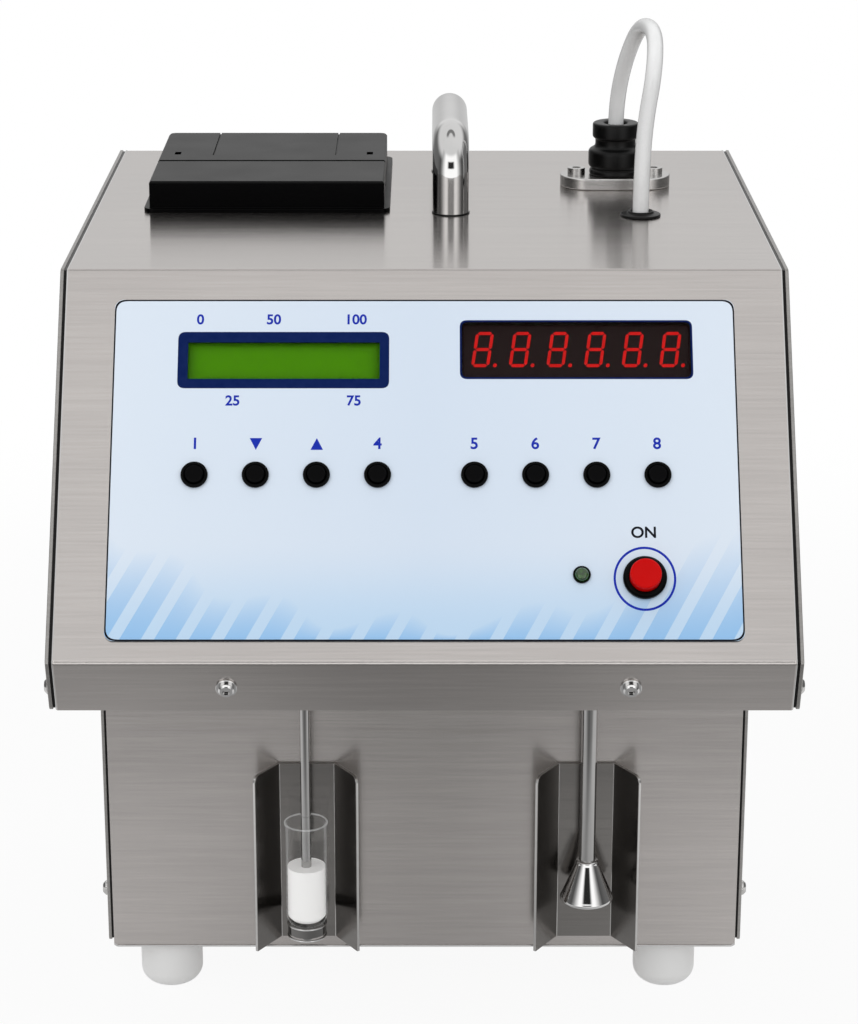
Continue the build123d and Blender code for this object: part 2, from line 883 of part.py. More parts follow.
with BuildPart() as power_supply:
    with BuildSketch(Plane.XY.offset(z_floor + sheet)):
        with Locations((supply_x, y_neck + neck_depth / 2)):
            RectangleRounded(supply_width, supply_depth, supply_round)
    extrude(amount=supply_height)

# Sensor block: takes the sample tube on the head floor
sensor_width = 50.0
sensor_depth = 36.0
sensor_height = 32.0
sensor_chamfer = 2.0
tube_seat_depth = 6.0
nipple_radius = 2.5
nipple_length = 8.0

with BuildPart() as sensor_block:
    with BuildSketch(deck_plane):
        with Locations((sample_x, y_station)):
            Rectangle(sensor_width, sensor_depth)
    extrude(amount=sensor_height)
    chamfer(sensor_block.faces().sort_by(Axis.Z)[-1].edges(), length=sensor_chamfer)
    with BuildSketch(Plane.XY.offset(z_deck + sensor_height)):
        with GridLocations(sensor_width / 2, sensor_depth, 2, 1):
            with Locations((sample_x, y_station)):
                Circle(nipple_radius)
    extrude(amount=nipple_length)
    with BuildSketch(deck_plane):
        with Locations((sample_x, y_station)):
            Circle(sample_tube_radius + touch_gap)
    extrude(amount=tube_seat_depth, mode=Mode.SUBTRACT)

# Sample tube: thin steel pipe from the sensor block down into the vial
vial_bottom = 40.5
tube_dip = 12.5
tube_tip = vial_bottom + tube_dip
sample_tube_bore = 1.3
tube_tip_round = 0.4

with BuildPart() as sample_tube:
    with BuildSketch(Plane.XY.offset(tube_tip)):
        with Locations((sample_x, y_station)):
            Circle(sample_tube_radius)
            Circle(sample_tube_bore, mode=Mode.SUBTRACT)
    extrude(amount=z_deck + tube_seat_depth - tube_tip)
    chamfer(
        sample_tube.faces().sort_by(Axis.Z)[0].outer_wire().edges(),
        length=tube_tip_round,
    )

# Stirrer: a rod from the driver down to a polished cone
cone_bottom = 49.6
cone_height = 17.4
cone_top_radius = 4.5
cone_radius = 10.3
cone_rim = 1.6
cone_bottom_chamfer = 1.8
rod_seat_depth = 12.0

with BuildPart() as stirrer_rod:
    with BuildSketch(Plane.XY.offset(cone_bottom + cone_height)):
        with Locations((stirrer_x, y_station)):
            Circle(stirrer_rod_radius)
    extrude(amount=z_deck + rod_seat_depth - cone_bottom - cone_height)

with BuildPart() as stirrer_cone:
    with BuildSketch(turning_plane(stirrer_x, y_station, cone_bottom)):
        with BuildLine():
            Polyline(
                (0, 0),
                (cone_radius - cone_bottom_chamfer, 0),
                (cone_radius, cone_bottom_chamfer / 2),
                (cone_radius, cone_bottom_chamfer / 2 + cone_rim),
                (cone_top_radius, cone_height - cone_rim / 2),
                (cone_top_radius - cone_rim / 2, cone_height),
                (0, cone_height),
                close=True,
            )
        make_face()
    revolve(axis=turning_axis(stirrer_x, y_station, cone_bottom))

# Stirrer driver: a stack on the head floor that holds the rod
driver_base_radius = 19.0
driver_base_height = 5.0
driver_radius = 14.0
driver_height = 42.0
driver_groove = 1.0
driver_groove_level = 18.0
driver_groove_height = 6.0

with BuildPart() as stirrer_driver:
    with BuildSketch(deck_plane):
        with Locations((stirrer_x, y_station)):
            Circle(driver_base_radius)
    extrude(amount=driver_base_height)
    with BuildSketch(deck_plane):
        with Locations((stirrer_x, y_station)):
            Circle(driver_radius)
    extrude(amount=driver_height)
    with BuildSketch(deck_plane.offset(driver_groove_level)):
        with Locations((stirrer_x, y_station)):
            Circle(driver_radius + cut_overrun)
            Circle(driver_radius - driver_groove, mode=Mode.SUBTRACT)
    extrude(amount=driver_groove_height, mode=Mode.SUBTRACT)
    with BuildSketch(deck_plane):
        with Locations((stirrer_x, y_station)):
            Circle(stirrer_rod_radius + touch_gap)
    extrude(amount=rod_seat_depth, mode=Mode.SUBTRACT)

# Holders: flared channels on the neck front, one behind each station
holder_sheet = 1.2
holder_bend = 1.6
holder_corner = 3.0
holder_bottom = z_floor + station_lift


def draw_holder(middle_x):
    """Flared channel section round one station, in the open sketch."""
    y_mouth = y_neck - station_depth
    corners = [
        (middle_x - station_mouth_width / 2, y_mouth),
        (middle_x - station_back_width / 2, y_neck),
        (middle_x + station_back_width / 2, y_neck),
        (middle_x + station_mouth_width / 2, y_mouth),
    ]
    draw_strip(corners, holder_sheet, side=Side.RIGHT, radius=holder_bend)


holders = []
for middle_x in (sample_x, stirrer_x):
    with BuildPart() as holder:
        with BuildSketch(Plane.XY.offset(holder_bottom)):
            draw_holder(middle_x)
        extrude(amount=station_height)
        front_corners = holder.edges().group_by(Axis.Z)[-1].group_by(Axis.Y)[0]
        fillet(front_corners, radius=holder_corner)
    holders.append(holder)
left_holder, right_holder = holders

# Vial seat: a disc on an arm from the holder's back
seat_radius = 7.5
seat_thickness = 4.0
seat_stem_radius = 3.0
seat_stem_length = 3.5
seat_arm_width = 6.0

with BuildPart() as vial_seat:
    with BuildSketch(Plane.XY.offset(vial_bottom - seat_thickness)):
        with Locations((sample_x, y_station)):
            Circle(seat_radius)
    extrude(amount=seat_thickness)
    with BuildSketch(Plane.XY.offset(vial_bottom - seat_thickness)):
        with Locations((sample_x, y_neck - holder_sheet)):
            Rectangle(
                seat_arm_width,
                station_reach - holder_sheet,
                align=(Align.CENTER, Align.MAX),
            )
    extrude(amount=seat_thickness / 2)
    with BuildSketch(Plane.XY.offset(vial_bottom - seat_thickness)):
        with Locations((sample_x, y_station)):
            Circle(seat_stem_radius)
    extrude(amount=-seat_stem_length)
    chamfer(vial_seat.faces().sort_by(Axis.Z)[0].edges(), length=seat_stem_radius / 3)

# Sample vial: clear glass with a rolled rim, and the milk in it
vial_radius = 7.9
vial_wall = 1.0
vial_floor = 1.5
vial_height = 42.5
vial_base_round = 3.0
vial_rim = 0.6
vial_rim_height = 1.6
milk_depth = 23.9
milk_level = vial_bottom + milk_depth
milk_bore_radius = sample_tube_radius + seam
vial_lift = 10.0

with BuildPart() as sample_vial:
    with BuildSketch(turning_plane(sample_x, y_station, vial_bottom)):
        with BuildLine():
            Polyline(
                (0, 0),
                (vial_radius - vial_base_round, 0),
                (vial_radius - vial_base_round / 3, vial_base_round / 3),
                (vial_radius, vial_base_round),
                (vial_radius, vial_height - vial_rim_height),
                (vial_radius + vial_rim, vial_height - vial_rim_height / 2),
                (vial_radius + vial_rim / 2, vial_height),
                (vial_radius - vial_wall, vial_height - vial_rim_height / 2),
                (vial_radius - vial_wall, vial_base_round),
                (vial_radius - vial_wall - vial_base_round / 3, vial_floor),
                (0, vial_floor),
                close=True,
            )
        make_face()
    revolve(axis=turning_axis(sample_x, y_station, vial_bottom))

with BuildPart() as milk_sample:
    with BuildSketch(turning_plane(sample_x, y_station, vial_bottom)):
        with BuildLine():
            Polyline(
                (0, vial_floor),
                (vial_radius - vial_wall - vial_base_round / 3, vial_floor),
                (vial_radius - vial_wall, vial_base_round),
                (vial_radius - vial_wall, milk_level - vial_bottom),
                (milk_bore_radius, milk_level - vial_bottom),
                (milk_bore_radius, tube_tip - vial_lift - seam - vial_bottom),
                (0, tube_tip - vial_lift - seam - vial_bottom),
                close=True,
            )
        make_face()
    revolve(axis=turning_axis(sample_x, y_station, vial_bottom))

# Feet: white domes under the box
foot_round = 6.5

with BuildPart() as feet:
    with BuildSketch(Plane.XY):
        with Locations((foot_shift, foot_middle_y)):
            with GridLocations(foot_spacing_x, foot_spacing_y, 2, 2):
                Circle(foot_radius)
    extrude(amount=foot_height)
    fillet(feet.edges().group_by(Axis.Z)[0], radius=foot_round)

# Carry handle: a round bow standing on the top, front to back
handle_bend = 12.0
handle_thread_depth = 10.0

with BuildPart() as carry_handle:
    with BuildLine() as handle_path:
        FilletPolyline(
            (handle_x, handle_feet[0][1], z_top),
            (handle_x, handle_feet[0][1], z_top + handle_height - handle_radius),
            (handle_x, handle_feet[1][1], z_top + handle_height - handle_radius),
            (handle_x, handle_feet[1][1], z_top),
            radius=handle_bend,
        )
    with BuildSketch(top_plane):
        with Locations(handle_feet[0]):
            Circle(handle_radius)
    sweep(path=handle_path.line)
    with BuildSketch(top_plane):
        with Locations(*handle_feet):
            Circle(socket_shank_radius + touch_gap)
    extrude(amount=handle_thread_depth, mode=Mode.SUBTRACT)

# Outlet flange, rubber stopper and hose grommet
stopper_drop = 6.0
stopper_height = 20.1
stopper_top_radius = 8.8
stopper_bulge_radius = 10.4
stopper_neck_radius = 7.8
stopper_foot_radius = 10.0
stopper_recess_radius = hose_radius + seam
stopper_recess_depth = 3.0
stopper_outline_shares = [0.09, 0.17, 0.47, 0.56, 0.71, 0.96]
grommet_height = 2.0
grommet_hub_radius = 4.8
grommet_drop = 4.0
grommet_floor = 1.5

with BuildPart() as outlet_flange:
    with BuildSketch(top_plane):
        with Locations(outlet_place):
            SlotOverall(outlet_plate_length, outlet_plate_width)
            Circle(stopper_spigot_radius + touch_gap, mode=Mode.SUBTRACT)
        with Locations(*outlet_screw_places):
            Circle(socket_hole_radius, mode=Mode.SUBTRACT)
    extrude(amount=outlet_plate_thickness)

with BuildPart() as rubber_stopper:
    levels = [share * stopper_height for share in stopper_outline_shares]
    with BuildSketch(turning_plane(*outlet_place, z_top + outlet_plate_thickness)):
        with BuildLine():
            Polyline(
                (0, -outlet_plate_thickness - stopper_drop),
                (stopper_spigot_radius, -outlet_plate_thickness - stopper_drop),
                (stopper_spigot_radius, 0),
                (stopper_foot_radius, 0),
                (stopper_foot_radius, levels[0]),
                (stopper_bulge_radius, levels[1]),
                (stopper_bulge_radius, levels[2]),
                (stopper_neck_radius, levels[3]),
                (stopper_neck_radius, levels[4]),
                (stopper_top_radius, levels[4]),
                (stopper_top_radius, levels[5]),
                (stopper_top_radius - stopper_height + levels[5], stopper_height),
                (stopper_recess_radius, stopper_height),
                (stopper_recess_radius, stopper_height - stopper_recess_depth),
                (0, stopper_height - stopper_recess_depth),
                close=True,
            )
        make_face()
    revolve(axis=turning_axis(*outlet_place, z_top + outlet_plate_thickness))

with BuildPart() as tube_grommet:
    with BuildSketch(turning_plane(*inlet_place, z_top)):
        with BuildLine():
            Polyline(
                (0, -sheet - grommet_drop),
                (grommet_neck_radius, -sheet - grommet_drop),
                (grommet_neck_radius, 0),
                (grommet_flange_radius, 0),
                (grommet_flange_radius, grommet_height / 3),
                (grommet_hub_radius, grommet_height / 2),
                (grommet_hub_radius - 2 * seam, grommet_height),
                (hose_radius + touch_gap, grommet_height - seam),
                (hose_radius + touch_gap, -sheet - grommet_drop + grommet_floor),
                (0, -sheet - grommet_drop + grommet_floor),
                close=True,
            )
        make_face()
    revolve(axis=turning_axis(*inlet_place, z_top))

# Socket screws: through the outlet flange, and from inside the top into the handle
with BuildPart() as socket_screw:
    Cylinder(
        socket_head_radius,
        socket_head_height,
        align=(Align.CENTER, Align.CENTER, Align.MIN),
    )
    with BuildSketch(Plane.XY.offset(socket_head_height)):
        RegularPolygon(socket_head_radius * hex_share, 6)
    extrude(amount=-socket_head_height / 2, mode=Mode.SUBTRACT)
    Cylinder(
        socket_shank_radius,
        socket_shank_length,
        align=(Align.CENTER, Align.CENTER, Align.MAX),
    )

socket_planes = [
    Plane(origin=(x, y, z_top + outlet_plate_thickness), z_dir=(0, 0, 1))
    for x, y in outlet_screw_places
]
socket_planes += [
    Plane(origin=(x, y, z_top - sheet), x_dir=(1, 0, 0), z_dir=(0, 0, -1))
    for x, y in handle_feet
]

with BuildPart() as socket_screws:
    with Locations(*socket_planes):
        add(socket_screw.part)

# Silicone hose: from the stopper's top over a loop and down into the grommet.
# The route's points are the corners of straight runs, rounded by tangent arcs.
hose_start = (*outlet_place, z_top + outlet_plate_thickness + stopper_height - stopper_recess_depth)
hose_end = (*inlet_place, z_top - sheet - grommet_drop + grommet_floor)
hose_route = [
    hose_start,
    (*outlet_place, 346.0),
    (76.6, 66.0, 364.0),
    (81.2, 53.0, 379.4),
    (87.0, 34.5, 379.6),
    (85.9, 20.5, 366.5),
    (82.4, 19.5, 348.0),
    (*inlet_place, 327.6),
    hose_end,
]
run_share = 0.45


def corner_radii(points):
    """Radius of the arc at each inner corner of a route."""
    radii = []
    for before, corner, after in zip(points, points[1:], points[2:]):
        inward = Vector(*corner) - Vector(*before)
        outward = Vector(*after) - Vector(*corner)
        half_turn = radians(inward.get_angle(outward)) / 2
        radii.append(run_share * min(inward.length, outward.length) / tan(half_turn))
    return radii


hose_radii = corner_radii(hose_route)

with BuildPart() as silicone_hose:
    with BuildLine() as hose_path:
        FilletPolyline(*hose_route, radius=hose_radii)
    with BuildSketch(Plane(hose_start, z_dir=hose_path.line % 0)):
        Circle(hose_radius)
    sweep(path=hose_path.line)

hose_section = pi * hose_radius ** 2
print("hose radii", [round(radius, 1) for radius in hose_radii])
hose_length = sum(edge.length for edge in hose_path.edges())
print("hose length", round(hose_length, 1))
print("hose volume over section times length", round(
    silicone_hose.part.volume / (hose_section * hose_length), 4
))

# Printer case: flange, front block and an open paper bay with roll stubs and hinge ears
case_wall_bottom = 2.0
case_front = printer_front + 2 * printer_bay_wall
case_back = printer_front + printer_depth - 2 * printer_bay_wall
flange_corner = 4.0
block_round = 0.6
roll_radius = 14.5
roll_core_radius = 6.3
roll_half_length = 28.5
roll_drop = 13.5
roll_setback = 25.0
roll_level = z_top - roll_drop
roll_y = bay_front + roll_setback
stub_radius = roll_core_radius - seam
stub_length = 4.0
hinge_reach = 5.0
hinge_y = lid_back - hinge_reach
hinge_z = z_top + printer_flange_thickness + seam + hinge_reach
ear_radius = 2.4
ear_thickness = 3.4
ear_outer_half = printer_width / 2 - printer_bay_wall - seam
pin_radius = 1.3
pin_clearance = 0.05

with BuildPart() as printer_case:
    with BuildSketch(top_plane):
        with Locations((printer_x, printer_middle)):
            RectangleRounded(
                printer_width + 2 * printer_flange_lip,
                printer_depth + 2 * printer_flange_lip,
                flange_corner,
            )
    extrude(amount=printer_flange_thickness)
    with BuildSketch(top_plane):
        with Locations((printer_x, printer_front)):
            Rectangle(
                printer_width,
                printer_block_depth,
                align=(Align.CENTER, Align.MIN),
            )
    extrude(amount=printer_flange_thickness + printer_height)
    block_edges = printer_case.faces().sort_by(Axis.Z)[-1].edges()
    chamfer(block_edges, length=block_round)
    with BuildSketch(top_plane):
        with Locations((printer_x, case_front)):
            Rectangle(
                2 * case_half_width,
                case_back - case_front,
                align=(Align.CENTER, Align.MIN),
            )
    extrude(amount=-bay_depth - case_wall_bottom)
    with BuildSketch(top_plane.offset(-bay_depth)):
        with Locations((printer_x, bay_front)):
            Rectangle(
                2 * bay_half_width,
                bay_back - bay_front,
                align=(Align.CENTER, Align.MIN),
            )
    extrude(amount=bay_depth + printer_flange_thickness, mode=Mode.SUBTRACT)
    for side in (-1, 1):
        with BuildSketch(Plane.YZ.offset(printer_x + side * bay_half_width)):
            with Locations((roll_y, roll_level)):
                Circle(stub_radius)
        extrude(amount=-side * (stub_length + bay_half_width - roll_half_length))
        with BuildSketch(Plane.YZ.offset(printer_x + side * ear_outer_half)):
            with Locations((hinge_y, hinge_z)):
                Circle(ear_radius)
            with Locations((hinge_y, z_top + printer_flange_thickness)):
                Rectangle(
                    2 * ear_radius,
                    hinge_z - z_top - printer_flange_thickness,
                    align=(Align.CENTER, Align.MIN),
                )
            with Locations((hinge_y, hinge_z)):
                Circle(pin_radius + pin_clearance, mode=Mode.SUBTRACT)
        extrude(amount=-side * ear_thickness)

# Printer lid: a shallow cap that turns on pins in the ears and carries the roller
lid_bottom = z_top + printer_flange_thickness + seam
lid_height = printer_height - seam
lid_wall = printer_bay_wall
lid_corner = 3.0
lid_top_chamfer = 0.6
ear_notch = seam
roller_radius = 3.3
roller_half_length = 28.0
roller_setback = 6.5
roller_lift = 3.8
roller_y = lid_front + roller_setback
roller_z = lid_bottom + roller_lift
roller_shaft_radius = 1.5
roller_shaft_extra = 4.0
rib_thickness = 2.5
rib_half_width = 3.2
slit_width = 0.6
slit_length = 46.0
slit_depth = 0.7
slit_spacing = 47.5
slit_shift = 0.65
latch_width = 2.4
latch_length = 5.0
latch_spacing = 74.6
latch_shift = 0.2
latch_setback = 13.7
latch_depth = 1.0

with BuildPart() as printer_lid:
    with BuildSketch(Plane.XY.offset(lid_bottom)):
        with Locations((printer_x, lid_front)):
            Rectangle(
                printer_width,
                lid_back - lid_front,
                align=(Align.CENTER, Align.MIN),
            )
    extrude(amount=lid_height)
    fillet(
        printer_lid.edges().filter_by(Axis.Z).group_by(Axis.Y)[-1],
        radius=lid_corner,
    )
    chamfer(printer_lid.faces().sort_by(Axis.Z)[-1].edges(), length=lid_top_chamfer)
    with BuildSketch(Plane.XY.offset(lid_bottom)):
        with Locations((printer_x, lid_front + lid_wall / 2)):
            Rectangle(
                printer_width - 2 * lid_wall,
                lid_back - lid_front - lid_wall * 3 / 2,
                align=(Align.CENTER, Align.MIN),
            )
    extrude(amount=lid_height - lid_wall, mode=Mode.SUBTRACT)
    with BuildSketch(Plane.XY.offset(lid_bottom)):
        with Locations((printer_x, lid_front)):
            Rectangle(2 * roller_half_length + 2 * seam, 4 * lid_wall)
    extrude(amount=lid_height - lid_wall, mode=Mode.SUBTRACT)
    with BuildSketch(Plane.YZ.offset(printer_x)):
        with Locations((lid_back, lid_bottom)):
            Rectangle(hinge_reach, hinge_reach, align=(Align.MAX, Align.MIN))
        with Locations((hinge_y, hinge_z)):
            Circle(hinge_reach, mode=Mode.SUBTRACT)
    extrude(amount=printer_width, both=True, mode=Mode.SUBTRACT)
    for side in (-1, 1):
        with BuildSketch(Plane.YZ.offset(printer_x + side * (ear_outer_half + ear_notch))):
            with Locations((lid_back + cut_overrun, lid_bottom - cut_overrun)):
                Rectangle(
                    hinge_reach + ear_radius + seam + cut_overrun,
                    lid_height - lid_wall + cut_overrun,
                    align=(Align.MAX, Align.MIN),
                )
        extrude(amount=-side * (ear_thickness + 2 * ear_notch), mode=Mode.SUBTRACT)
        with BuildSketch(Plane.YZ.offset(printer_x + side * (printer_width / 2 - lid_wall))):
            with Locations((hinge_y, hinge_z)):
                Circle(pin_radius)
        extrude(amount=-side * (ear_thickness + seam))
        with BuildSketch(Plane.YZ.offset(printer_x + side * (roller_half_length + seam))):
            with Locations((roller_y, roller_z)):
                Circle(rib_half_width)
            with Locations((roller_y, roller_z)):
                Rectangle(
                    2 * rib_half_width,
                    lid_bottom + lid_height - roller_z - lid_wall / 2,
                    align=(Align.CENTER, Align.MIN),
                )
            with Locations((roller_y, roller_z)):
                Circle(roller_shaft_radius + pin_clearance, mode=Mode.SUBTRACT)
        extrude(amount=side * rib_thickness)
    lid_top = Plane.XY.offset(lid_bottom + lid_height)
    with BuildSketch(lid_top):
        for side in (-1, 1):
            with Locations((printer_x + slit_shift + side * slit_spacing / 2, lid_back)):
                Rectangle(slit_width, slit_length, align=(Align.CENTER, Align.MAX))
    extrude(amount=-slit_depth, mode=Mode.SUBTRACT)
    with BuildSketch(lid_top):
        with Locations((printer_x + latch_shift, lid_front + latch_setback)):
            with GridLocations(latch_spacing, latch_length, 2, 1):
                Rectangle(latch_width, latch_length)
    extrude(amount=-latch_depth, mode=Mode.SUBTRACT)

# Platen roller on its shaft, paper roll and print head
with BuildPart() as platen_roller:
    with BuildSketch(Plane.YZ.offset(printer_x)):
        with Locations((roller_y, roller_z)):
            Circle(roller_radius)
    extrude(amount=roller_half_length, both=True)
    with BuildSketch(Plane.YZ.offset(printer_x)):
        with Locations((roller_y, roller_z)):
            Circle(roller_shaft_radius)
    extrude(amount=roller_half_length + roller_shaft_extra, both=True)

with BuildPart() as paper_roll:
    with BuildSketch(Plane.YZ.offset(printer_x)):
        with Locations((roll_y, roll_level)):
            Circle(roll_radius)
            Circle(roll_core_radius, mode=Mode.SUBTRACT)
    extrude(amount=roll_half_length, both=True)

head_bar_height = 7.0
head_bar_reach = roller_y - roller_radius - seam - (printer_front + printer_block_depth)

with BuildPart() as print_head:
    with BuildSketch(Plane.XY.offset(z_top + printer_flange_thickness)):
        with Locations((printer_x, printer_front + printer_block_depth)):
            Rectangle(
                2 * roller_half_length,
                head_bar_reach,
                align=(Align.CENTER, Align.MIN),
            )
    extrude(amount=head_bar_height)

# Pump: motor and head ring on a foot, with a three-roller rotor
pump_ring_radius = 20.0
pump_side_gap = 11.8
pump_setback = 62.0
pump_lift = 26.0
pump_x = -(cover_inner_half - pump_side_gap - pump_ring_radius)
pump_y = y_front + pump_setback
pump_level = z_deck + pump_lift
pump_bore_radius = 16.5
pump_ring_depth = 14.0
pump_wall = 2.5
pump_motor_radius = 13.0
pump_motor_length = 34.0
pump_shaft_radius = 2.0
pump_foot_width = 34.0
rotor_hub_radius = 5.0
rotor_roller_radius = 4.0
rotor_roller_orbit = 10.5
rotor_arm_radius = 13.0
rotor_plate = 2.0
rotor_count = 3
pump_plane = Plane(origin=(pump_x, pump_y, pump_level), x_dir=(1, 0, 0), z_dir=(0, -1, 0))

with BuildPart() as pump_motor:
    with BuildSketch(pump_plane):
        Circle(pump_ring_radius)
        with Locations((0, z_deck - pump_level)):
            Rectangle(
                pump_foot_width,
                pump_level - z_deck,
                align=(Align.CENTER, Align.MIN),
            )
    extrude(amount=pump_ring_depth + pump_wall)
    with BuildSketch(pump_plane.offset(pump_wall)):
        Circle(pump_bore_radius)
    extrude(amount=pump_ring_depth + cut_overrun, mode=Mode.SUBTRACT)
    with BuildSketch(pump_plane):
        Circle(pump_motor_radius)
    extrude(amount=-pump_motor_length)
    with BuildSketch(pump_plane):
        Circle(pump_shaft_radius)
    extrude(amount=pump_wall + pump_ring_depth - rotor_plate)

with BuildPart() as pump_rotor:
    with BuildSketch(pump_plane.offset(pump_wall + seam)):
        Circle(rotor_hub_radius)
        Circle(pump_shaft_radius + pin_clearance, mode=Mode.SUBTRACT)
    extrude(amount=pump_ring_depth - 2 * seam)
    with BuildSketch(pump_plane.offset(pump_wall + seam)):
        Circle(rotor_arm_radius)
        Circle(pump_shaft_radius + pin_clearance, mode=Mode.SUBTRACT)
    extrude(amount=rotor_plate)
    with BuildSketch(pump_plane.offset(pump_wall + seam)):
        with PolarLocations(rotor_roller_orbit, rotor_count):
            Circle(rotor_roller_radius)
    extrude(amount=pump_ring_depth - 2 * seam)

# Power inlet: a socket and a rocker switch in one housing on the rear panel
inlet_flange_width = 32.0
inlet_flange_height = 52.0
inlet_flange_thickness = 2.5
inlet_body_depth = 24.0
socket_width = 20.0
socket_height_size = 14.0
socket_depth = 17.0
socket_shift = -10.5
socket_corner = 3.0
pin_width = 2.0
pin_height = 4.0
pin_length = 11.0
pin_spacing = 7.0
pin_drop = 2.0
rocker_shift = 12.0
rocker_pocket_width = 14.0
rocker_pocket_height = 21.0
rocker_pocket_depth = 12.0
rocker_width = 13.2
rocker_half_height = 9.2
rocker_pivot_depth = 4.5
rocker_tilt = 8.0
rocker_axle_radius = 1.2

with BuildPart() as power_inlet:
    with BuildSketch(rear_plane):
        with Locations((power_x, power_level)):
            RectangleRounded(inlet_flange_width, inlet_flange_height, socket_corner)
    extrude(amount=inlet_flange_thickness)
    with BuildSketch(rear_plane):
        with Locations((power_x, power_level)):
            Rectangle(power_cut_width, power_cut_height)
    extrude(amount=-inlet_body_depth)
    with BuildSketch(rear_plane.offset(inlet_flange_thickness)):
        with Locations((power_x, power_level + socket_shift)):
            RectangleRounded(socket_width, socket_height_size, socket_corner)
    extrude(amount=-socket_depth, mode=Mode.SUBTRACT)
    with BuildSketch(rear_plane.offset(inlet_flange_thickness - socket_depth)):
        for x, drop in ((-pin_spacing, -1), (0, 1), (pin_spacing, -1)):
            with Locations((power_x + x, power_level + socket_shift + drop * pin_drop)):
                Rectangle(pin_width, pin_height)
    extrude(amount=pin_length)
    with BuildSketch(rear_plane.offset(inlet_flange_thickness)):
        with Locations((power_x, power_level + rocker_shift)):
            Rectangle(rocker_pocket_width, rocker_pocket_height)
    extrude(amount=-rocker_pocket_depth, mode=Mode.SUBTRACT)
    with BuildSketch(Plane.YZ.offset(-power_x)):
        with Locations(
            (
                y_back + inlet_flange_thickness - rocker_pivot_depth,
                power_level + rocker_shift,
            )
        ):
            Circle(rocker_axle_radius)
    extrude(amount=rocker_pocket_width / 2, both=True)

rocker_pivot_y = y_back + inlet_flange_thickness - rocker_pivot_depth
rocker_pivot_z = power_level + rocker_shift
rocker_outline_shares = [
    (-0.35, -0.35),
    (-0.35, 0.35),
    (0.1, 1.0),
    (0.42, 1.0),
    (0.25, 0.0),
    (0.42, -1.0),
    (0.1, -1.0),
]

with BuildPart() as switch_rocker:
    with BuildSketch(Plane.YZ.offset(-power_x)):
        with Locations((rocker_pivot_y, rocker_pivot_z)):
            Polygon(
                *[
                    (out * rocker_half_height, up * rocker_half_height)
                    for out, up in rocker_outline_shares
                ],
                rotation=-rocker_tilt,
                align=None,
            )
        with Locations((rocker_pivot_y, rocker_pivot_z)):
            Circle(rocker_axle_radius + pin_clearance, mode=Mode.SUBTRACT)
    extrude(amount=rocker_width / 2, both=True)

# Serial port: a small shell with two jack posts
port_plate_thickness = 1.0
port_body_depth = 9.0
port_wall = 0.8
port_socket_depth = 5.0
port_flank_angle = 80
jack_spacing = 25.0
jack_radius = 2.4
jack_length = 4.5

with BuildPart() as serial_port:
    with BuildSketch(rear_plane):
        with Locations((port_x, port_level)):
            RectangleRounded(port_plate_width, port_plate_height, edge_radius)
    extrude(amount=port_plate_thickness)
    with BuildSketch(rear_plane.offset(port_projection)):
        with Locations((port_x, port_level)):
            Trapezoid(port_shell_width, port_shell_height, port_flank_angle, rotation=180)
    extrude(amount=-port_projection - port_body_depth)
    with BuildSketch(rear_plane.offset(port_projection)):
        with Locations((port_x, port_level)):
            Trapezoid(
                port_shell_width - 2 * port_wall,
                port_shell_height - 2 * port_wall,
                port_flank_angle,
                rotation=180,
            )
    extrude(amount=-port_socket_depth, mode=Mode.SUBTRACT)
    with BuildSketch(rear_plane.offset(port_plate_thickness)):
        with Locations((port_x, port_level)):
            with GridLocations(jack_spacing, port_plate_height, 2, 1):
                RegularPolygon(jack_radius, 6)
    extrude(amount=jack_length)

pieces = {
    "top_cover": top_cover,
    "base_chassis": base_chassis,
    "rear_panel": rear_panel,
    "left_side_plate": left_side_plate,
    "right_side_plate": right_side_plate,
    "side_gaskets": side_gaskets,
    "case_screws": case_screws,
    "lip_washers": lip_washers,
    "lip_screws": lip_screws,
    "front_overlay": front_overlay,
    "lcd_window": lcd_window,
    "lcd_module": lcd_module,
    "lcd_glass": lcd_glass,
    "led_filter": led_filter,
    "digit_display": digit_display,
    "digit_segments": digit_segments,
    "key_bezels": key_bezels,
    "push_bezel": push_bezel,
    "push_cap": push_cap,
    "lamp_clip": lamp_clip,
    "indicator_lamp": indicator_lamp,
    "front_board": front_board,
    "board_standoffs": board_standoffs,
    "main_board": main_board,
    "power_supply": power_supply,
    "sensor_block": sensor_block,
    "sample_tube": sample_tube,
    "stirrer_rod": stirrer_rod,
    "stirrer_cone": stirrer_cone,
    "stirrer_driver": stirrer_driver,
    "left_holder": left_holder,
    "right_holder": right_holder,
    "vial_seat": vial_seat,
    "sample_vial": sample_vial,
    "milk_sample": milk_sample,
    "feet": feet,
    "carry_handle": carry_handle,
    "outlet_flange": outlet_flange,
    "rubber_stopper": rubber_stopper,
    "tube_grommet": tube_grommet,
    "socket_screws": socket_screws,
    "silicone_hose": silicone_hose,
    "printer_case": printer_case,
    "printer_lid": printer_lid,
    "platen_roller": platen_roller,
    "paper_roll": paper_roll,
    "print_head": print_head,
    "pump_motor": pump_motor,
    "pump_rotor": pump_rotor,
    "power_inlet": power_inlet,
    "switch_rocker": switch_rocker,
    "serial_port": serial_port,
}
for index, key in enumerate(keys, start=1):
    pieces[f"key_{index}"] = key
for name, builder in pieces.items():
    finish(builder, name)
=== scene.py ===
"""Dresses the bench milk analyzer: finishes, smooth skins, prints, hose and studio.

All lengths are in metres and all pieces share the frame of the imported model.
"""

import json
import logging
import math
from dataclasses import dataclass, field
from enum import Enum
from typing import Callable, Iterable, Sequence

import bmesh
import bpy
import numpy as np
from mathutils import Matrix, Vector


